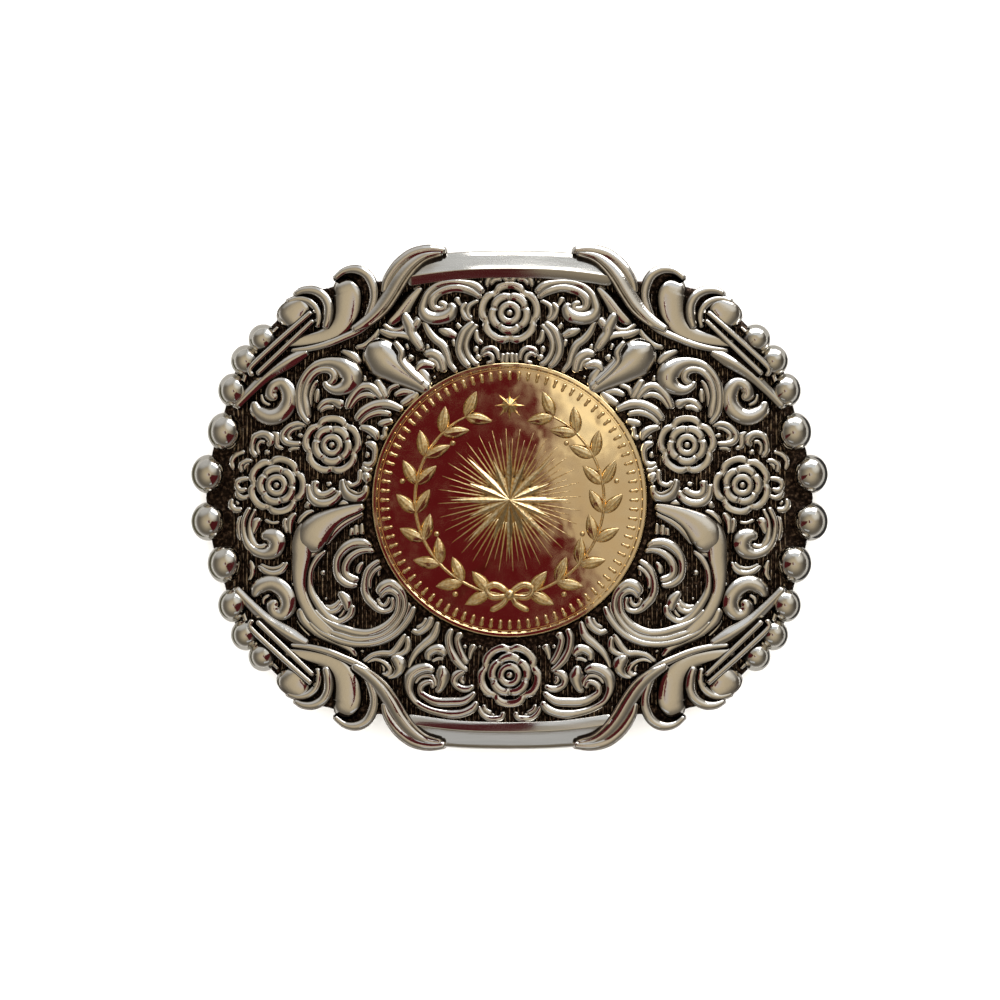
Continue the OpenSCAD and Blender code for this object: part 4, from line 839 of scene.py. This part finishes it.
# Relief of the medallion, struck with the disc: a faceted star on a burst of fine rays, a laurel
# wreath tied with a ribbon, a small star at its top, and a toothed border inside the rim.
STAR_RAYS = 8
STAR_LONG, STAR_SHORT, STAR_WAIST, STAR_H = 8.0, 5.8, 3.0, 0.9
TOP_STAR_R = 2.0
LAUREL_R, LAUREL_PAIRS, LAUREL_FROM, LAUREL_TO = 12.7, 9, 12, 152
LEAF_L, LEAF_W, LEAF_H, LEAF_LEAN = 3.7, 1.7, 0.6, 38
TEETH, TEETH_R, TOOTH_L, TOOTH_H = 84, 16.75, 1.36, 0.34
RAYS, RAY_FROM_R, RAY_L, RAY_W, RAY_H = 64, 3.0, 6.6, 0.16, 0.26
BERRY_R, KNOT_R = 0.36, 0.75
# Struck gold relief: the same plate, a little rough from the die, its tone drifting over small patches.
gold_relief = metal_finish("struck_gold_relief", 0.35,
                           [(0.3, "#D9B27A"), (0.55, "#F2D9A8"), (0.75, "#FBEBC8")], (0.26, 0.12), 0.3, 0.02)


def star_mesh(x, y, long, short, waist, height, start=0):
    """A star of folded rays, long and short in turn, as points and faces."""
    n = STAR_RAYS * 4
    ring = [(x + r * math.sin(2 * math.pi * i / n), y + r * math.cos(2 * math.pi * i / n))
            for i, r in enumerate([long, waist, short, waist] * STAR_RAYS)]
    v = [(*p, FIELD_Z + z) for z in (-0.15, 0.1) for p in ring]
    v += [(x, y, FIELD_Z + height), (x, y, FIELD_Z - 0.15)]
    edges = [(i, (i + 1) % n) for i in range(n)]
    f = [(i, j, n + j, n + i) for i, j in edges] + [(n + i, n + j, 2 * n) for i, j in edges]
    return v, [tuple(start + i for i in face) for face in f + [(j, i, 2 * n + 1) for i, j in edges]]


verts, faces = star_mesh(0, 0, STAR_LONG, STAR_SHORT, STAR_WAIST, STAR_H)
more = star_mesh(0, LAUREL_R, TOP_STAR_R, TOP_STAR_R / 2, TOP_STAR_R / 2, LEAF_H, len(verts))
new_piece("medallion_star", "coin", gold_relief, verts + more[0], faces + more[1], smooth=False)


# Leaves, rays and border teeth are outlines across +Y, each given for a share q of the part's length.
def leaf(q):
    """A pointed leaf, folded along its midrib, root at the origin."""
    w = LEAF_W / 2 * math.sin(math.pi * q ** 0.85) ** 0.8 if 0 < q < 1 else 0.02
    h = LEAF_H * (0.35 + 0.65 * math.sin(math.pi * min(1, q + 0.1)))
    half = ((-1, 0.12), (-0.55, 0.8), (-0.12, 0.55), (0, 1))
    across = [*half, *((-u, k) for u, k in half[2::-1])]
    return [(u * w, LEAF_L * q, h * k) for u, k in across] + [(0, LEAF_L * q, -0.15)]


def tooth(q):
    """One tooth of the border: a rounded bar, thicker near its outer end."""
    end = math.sqrt(max(0.03, 1 - (2 * q - 1) ** 4))
    w = (0.2 + 0.13 * math.exp(-((q - 0.78) / 0.16) ** 2) + 0.06 * math.exp(-((q - 0.18) / 0.16) ** 2)) * end
    y = TOOTH_L * (q - 0.5)
    arc = np.linspace(0, math.pi, 7)
    return [(w * math.cos(b), y, TOOTH_H * end * math.sin(b)) for b in arc] + [(0, y, -0.12)]


def ray(q):
    """A fine ray of the burst: a thin ridge that narrows and falls."""
    w = RAY_W * (1 - q) + 0.03
    return [(x, RAY_L * q, z) for x, z in ((-w, 0), (0, RAY_H * (1 - 0.6 * q)), (w, 0), (0, -0.12))]


def on_disc(r, degrees, turn=0.0, size=1.0):
    """A spot on the disc: degrees run from the top, clockwise; the part's +Y then points outwards."""
    q = math.radians(degrees)
    return (r * math.sin(q), r * math.cos(q), FIELD_Z, -q + math.radians(turn), size, size, size)


# degrees of the pairs of leaves, up from the foot of the wreath
pairs = np.linspace(LAUREL_FROM, LAUREL_TO, LAUREL_PAIRS)
for name, section, rows, spots in (
        ("medallion_border", tooth, 9, [on_disc(TEETH_R, 360 * i / TEETH) for i in range(TEETH)]),
        ("medallion_laurel", leaf, 9, [on_disc(LAUREL_R, side * (180 - up), side * (90 + lean))
                                       for side in (1, -1) for up in pairs
                                       for lean in (LEAF_LEAN, -LEAF_LEAN)]),
        ("medallion_rays", ray, 6, [on_disc(RAY_FROM_R, 360 * (i + 0.5) / RAYS, 0, 1.0 if i % 2 else 0.8)
                                    for i in range(RAYS)])):
    verts = [p for i in range(rows) for p in section(i / (rows - 1))]
    set_on_points(name, "coin", gold_relief, small_part(name + "_part", verts, rows), spots)


def flat_strand(width, height, route):
    """A low strand of even width on the disc's field, as rings of points."""
    line, run = smooth_line(route, 0.25)
    end = np.sqrt(np.clip(1 - (2 * run / run[-1] - 1) ** 6, 0.03, 1))
    u = np.sin(np.linspace(-np.pi / 2, np.pi / 2, 7))
    xy = line[:, None, :] + left_of(line)[:, None, :] * (u * width / 2 * end[:, None])[:, :, None]
    z = FIELD_Z + np.sqrt(np.maximum(1 - u ** 2, 0)) * height * end[:, None]
    return with_feet(xy, z, np.full((len(line), 1), FIELD_Z - 0.12))


# stems, and the ribbon's bow and ends: width, height, then the right half's route as x, y
stem = [on_disc(LAUREL_R, 180 - up)[:2] for up in (4, 20, 40, 60, 80, 100, 120, 140, 158)]
TRIM = [(0.42, 0.4, stem), (0.9, 0.5, [(0, -12.5), (1.8, -11.4), (3.1, -11.9), (2.3, -13), (0, -12.8)]),
        (0.8, 0.42, [(0.2, -12.8), (1, -14), (2.6, -14.9)])]
trim = ([], [], [])
for row in TRIM:
    ring = flat_strand(*row)
    for sx in (1, -1):
        add_strand(trim, ring, np.ones(ring.shape[:2]), (sx, 1))
new_piece("medallion_stems", "coin", gold_relief, *trim[:2])
# degrees up from the foot of the wreath, distance outwards from its stem
BERRIES = [(30, 1.9), (65, -1.9), (100, 1.9), (135, -1.9)]
berries = [(*on_disc(LAUREL_R + off, side * (180 - up))[:2], FIELD_Z + 0.1, 0, BERRY_R, BERRY_R, BERRY_R)
           for side in (1, -1) for up, off in BERRIES]
berries.append((0, -LAUREL_R, FIELD_Z + 0.15, 0, KNOT_R, KNOT_R, KNOT_R))
set_on_points("medallion_berries", "coin", gold_relief, ball("berry", 16, 10), berries)


# Belt loop and hook post: nickel plated steel, the loop bent from 3 mm wire, both soldered by flat
# feet to the bosses on the back. The CAD solids keep their shape and get their real finish.
wire = metal_finish("nickel_plated_steel_wire", 3.0, [(0.3, "#AFA89D"), (0.7, "#CDC7BC")], (0.18, 0.34),
                    0.5, 0.01)
for name in ("belt_loop", "hook_post"):
    slots = bpy.data.objects[name].data.materials
    slots.clear()
    slots.append(wire)


# Studio: a white table, soft light from a pale room, and cards of light and shade round the buckle that
# the bright metal mirrors, as it does in the photograph. None of it is part of the buckle.
def studio_sheet(name, corners, material):
    """A flat sheet that is no part of the buckle."""
    mesh = bpy.data.meshes.new(name)
    mesh.from_pydata([tuple(c * MM for c in corner) for corner in corners], [], [tuple(range(len(corners)))])
    mesh.materials.append(material)
    sheet = add_object(name, mesh)
    return sheet


def card(name, colour, strength, corners):
    """A glowing card that only the metal sees."""
    m = bpy.data.materials.new(name)
    m.use_nodes = True
    m.node_tree.nodes.clear()
    glow = node(m.node_tree, "ShaderNodeEmission", inputs={"Color": rgb(colour), "Strength": strength})
    node(m.node_tree, "ShaderNodeOutputMaterial", {"Surface": glow.outputs[0]})
    sheet = studio_sheet(name, corners, m)
    sheet.visible_camera = sheet.visible_diffuse = sheet.visible_shadow = False


TABLE = 3000                             # half the floor's side
studio_sheet("floor", [(-TABLE, -TABLE, 0), (TABLE, -TABLE, 0), (TABLE, TABLE, 0), (-TABLE, TABLE, 0)],
             new_material("white_paper", 0.0, 0.9, "#F6F5F3")[0])
# overhead: the dark red that the medallion mirrors, and a gleam at its edge
CARD_Z = 260
card("dark_card", "#5A1822", 1.0,
     [(-27, -28, CARD_Z), (-13, -37, CARD_Z), (11, -37, CARD_Z), (17, -28, CARD_Z), (14, -12, CARD_Z),
      (6, 2, CARD_Z), (8, 16, CARD_Z), (2, 25, CARD_Z), (-27, 27, CARD_Z)])
card("pale_card", "#FFF8E8", 1.2, [(11, 8, CARD_Z), (20, 9, CARD_Z), (14, 24, CARD_Z), (8, 24, CARD_Z)])
# upright: the red of the beads and the bar, and the grey and white behind the top bar
card("red_card", "#4E1A1C", 1.0, [(-24, -33, 26), (4, -2, 26), (4, -2, 108), (-24, -33, 108)])
card("bright_frame", "#DADDE0", 1.0,
     [(-24, 84, 4), (104, 84, 4), (104, 84, 118), (20, 84, 118), (-10, 84, 84), (-24, 84, 78)])
card("bright_card", "#FFFFFF", 4.5, [(-10, 82, 12), (98, 82, 12), (98, 82, 56), (-10, 82, 56)])
# the lamp at the upper right, and the grey in the face of the bottom bar
card("far_card", "#FFFFFF", 2.6, [(370, 439, 260), (98, 565, 260), (60, 483, 404), (332, 357, 404)])
card("front_card", "#C2C4C6", 1.0, [(-26, -63, 60), (26, -63, 60), (26, -87, 60), (-26, -87, 60)])
# just over the table: a glowing grey card, a painted reflection that the metal mirrors in place of the white
# table, and painted shade beside the buckle
card("table_tone", "#C9C6C0", 0.95, [(-400, -400, 0.3), (400, -400, 0.3), (400, 400, 0.3), (-400, 400, 0.3)])
card("left_shade", "#5E5A48", 0.9, [(-84, -50, 0.5), (-52, -50, 0.5), (-52, 22, 0.5), (-84, 22, 0.5)])
card("right_shade", "#3E3C3C", 0.9, [(46, -50, 0.5), (70, -50, 0.5), (70, 26, 0.5), (46, 26, 0.5)])

# the room: one ramp from table height up to the ceiling, then patches of it in given directions
world = bpy.data.worlds.new("room")
bpy.context.scene.world = world
world.use_nodes = True
t = world.node_tree
t.nodes.clear()
way_in = node(t, "ShaderNodeTexCoord").outputs["Generated"]
up = node(t, "ShaderNodeSeparateXYZ", {"Vector": way_in}).outputs["Z"]
room = node(t, "ShaderNodeValToRGB", {"Fac": up}, stops=[
    (0.0, "#B5B2AC"), (0.12, "#918C85"), (0.3, "#68625A"), (0.5, "#6F685B"), (0.7, "#8B8171"),
    (0.88, "#B6A990"), (1.0, "#CDBD9F")]).outputs["Color"]
shift = node(t, "ShaderNodeTexNoise", {"Vector": way_in}, {"Scale": 2.0, "Detail": 2.0}).outputs["Fac"]
WAVY = 0.12                              # how far the noise moves a patch's edge
# degrees round from +X, degrees down from overhead, half width, soft edge, colour
PATCHES = [(0, 0, 10, 5, "#C4BAAF"), (48, 48, 18, 18, "#E8E4DA"), (112, 78, 26, 22, "#C4C3C0"),
           (0, 84, 20, 14, "#565049")]
for around, down, half, soft, colour in PATCHES:
    q, d = math.radians(around), math.radians(down)
    axis = (math.sin(d) * math.cos(q), math.sin(d) * math.sin(q), math.cos(d))
    near = node(t, "ShaderNodeVectorMath", {0: way_in}, {1: axis}, operation="DOT_PRODUCT").outputs["Value"]
    wavy = node(t, "ShaderNodeMath", {0: shift, 2: near}, {1: WAVY}, operation="MULTIPLY_ADD").outputs[0]
    far, full = [math.cos(math.radians(w)) + WAVY / 2 for w in (half + soft, max(half - soft, 0))]
    share = node(t, "ShaderNodeMapRange", {"Value": wavy}, {"From Min": far, "From Max": full},
                 interpolation_type="SMOOTHSTEP").outputs["Result"]
    room = node(t, "ShaderNodeMix", {"Factor": share, "A": room}, {"B": rgb(colour)},
                data_type="RGBA").outputs["Result"]
sky = node(t, "ShaderNodeBackground", {"Color": room}, {"Strength": 1.0})
node(t, "ShaderNodeOutputWorld", {"Surface": sky.outputs[0]})


def soft_light(name, place_mm, side_mm, power):
    """A large square lamp that lights the paper and the shade, but is not mirrored in the metal."""
    data = bpy.data.lights.new(name, "AREA")
    data.shape = "SQUARE"
    data.size = side_mm * MM
    data.energy = power
    lamp = add_object(name, data)
    lamp.location = [c * MM for c in place_mm]
    lamp.rotation_euler = (-lamp.location).to_track_quat("-Z", "Y").to_euler()
    lamp.visible_glossy = lamp.visible_camera = False


for name, side in (("left_lamp", -1), ("right_lamp", 1)):
    soft_light(name, (side * 300, 100, 1100), 1500, 20)
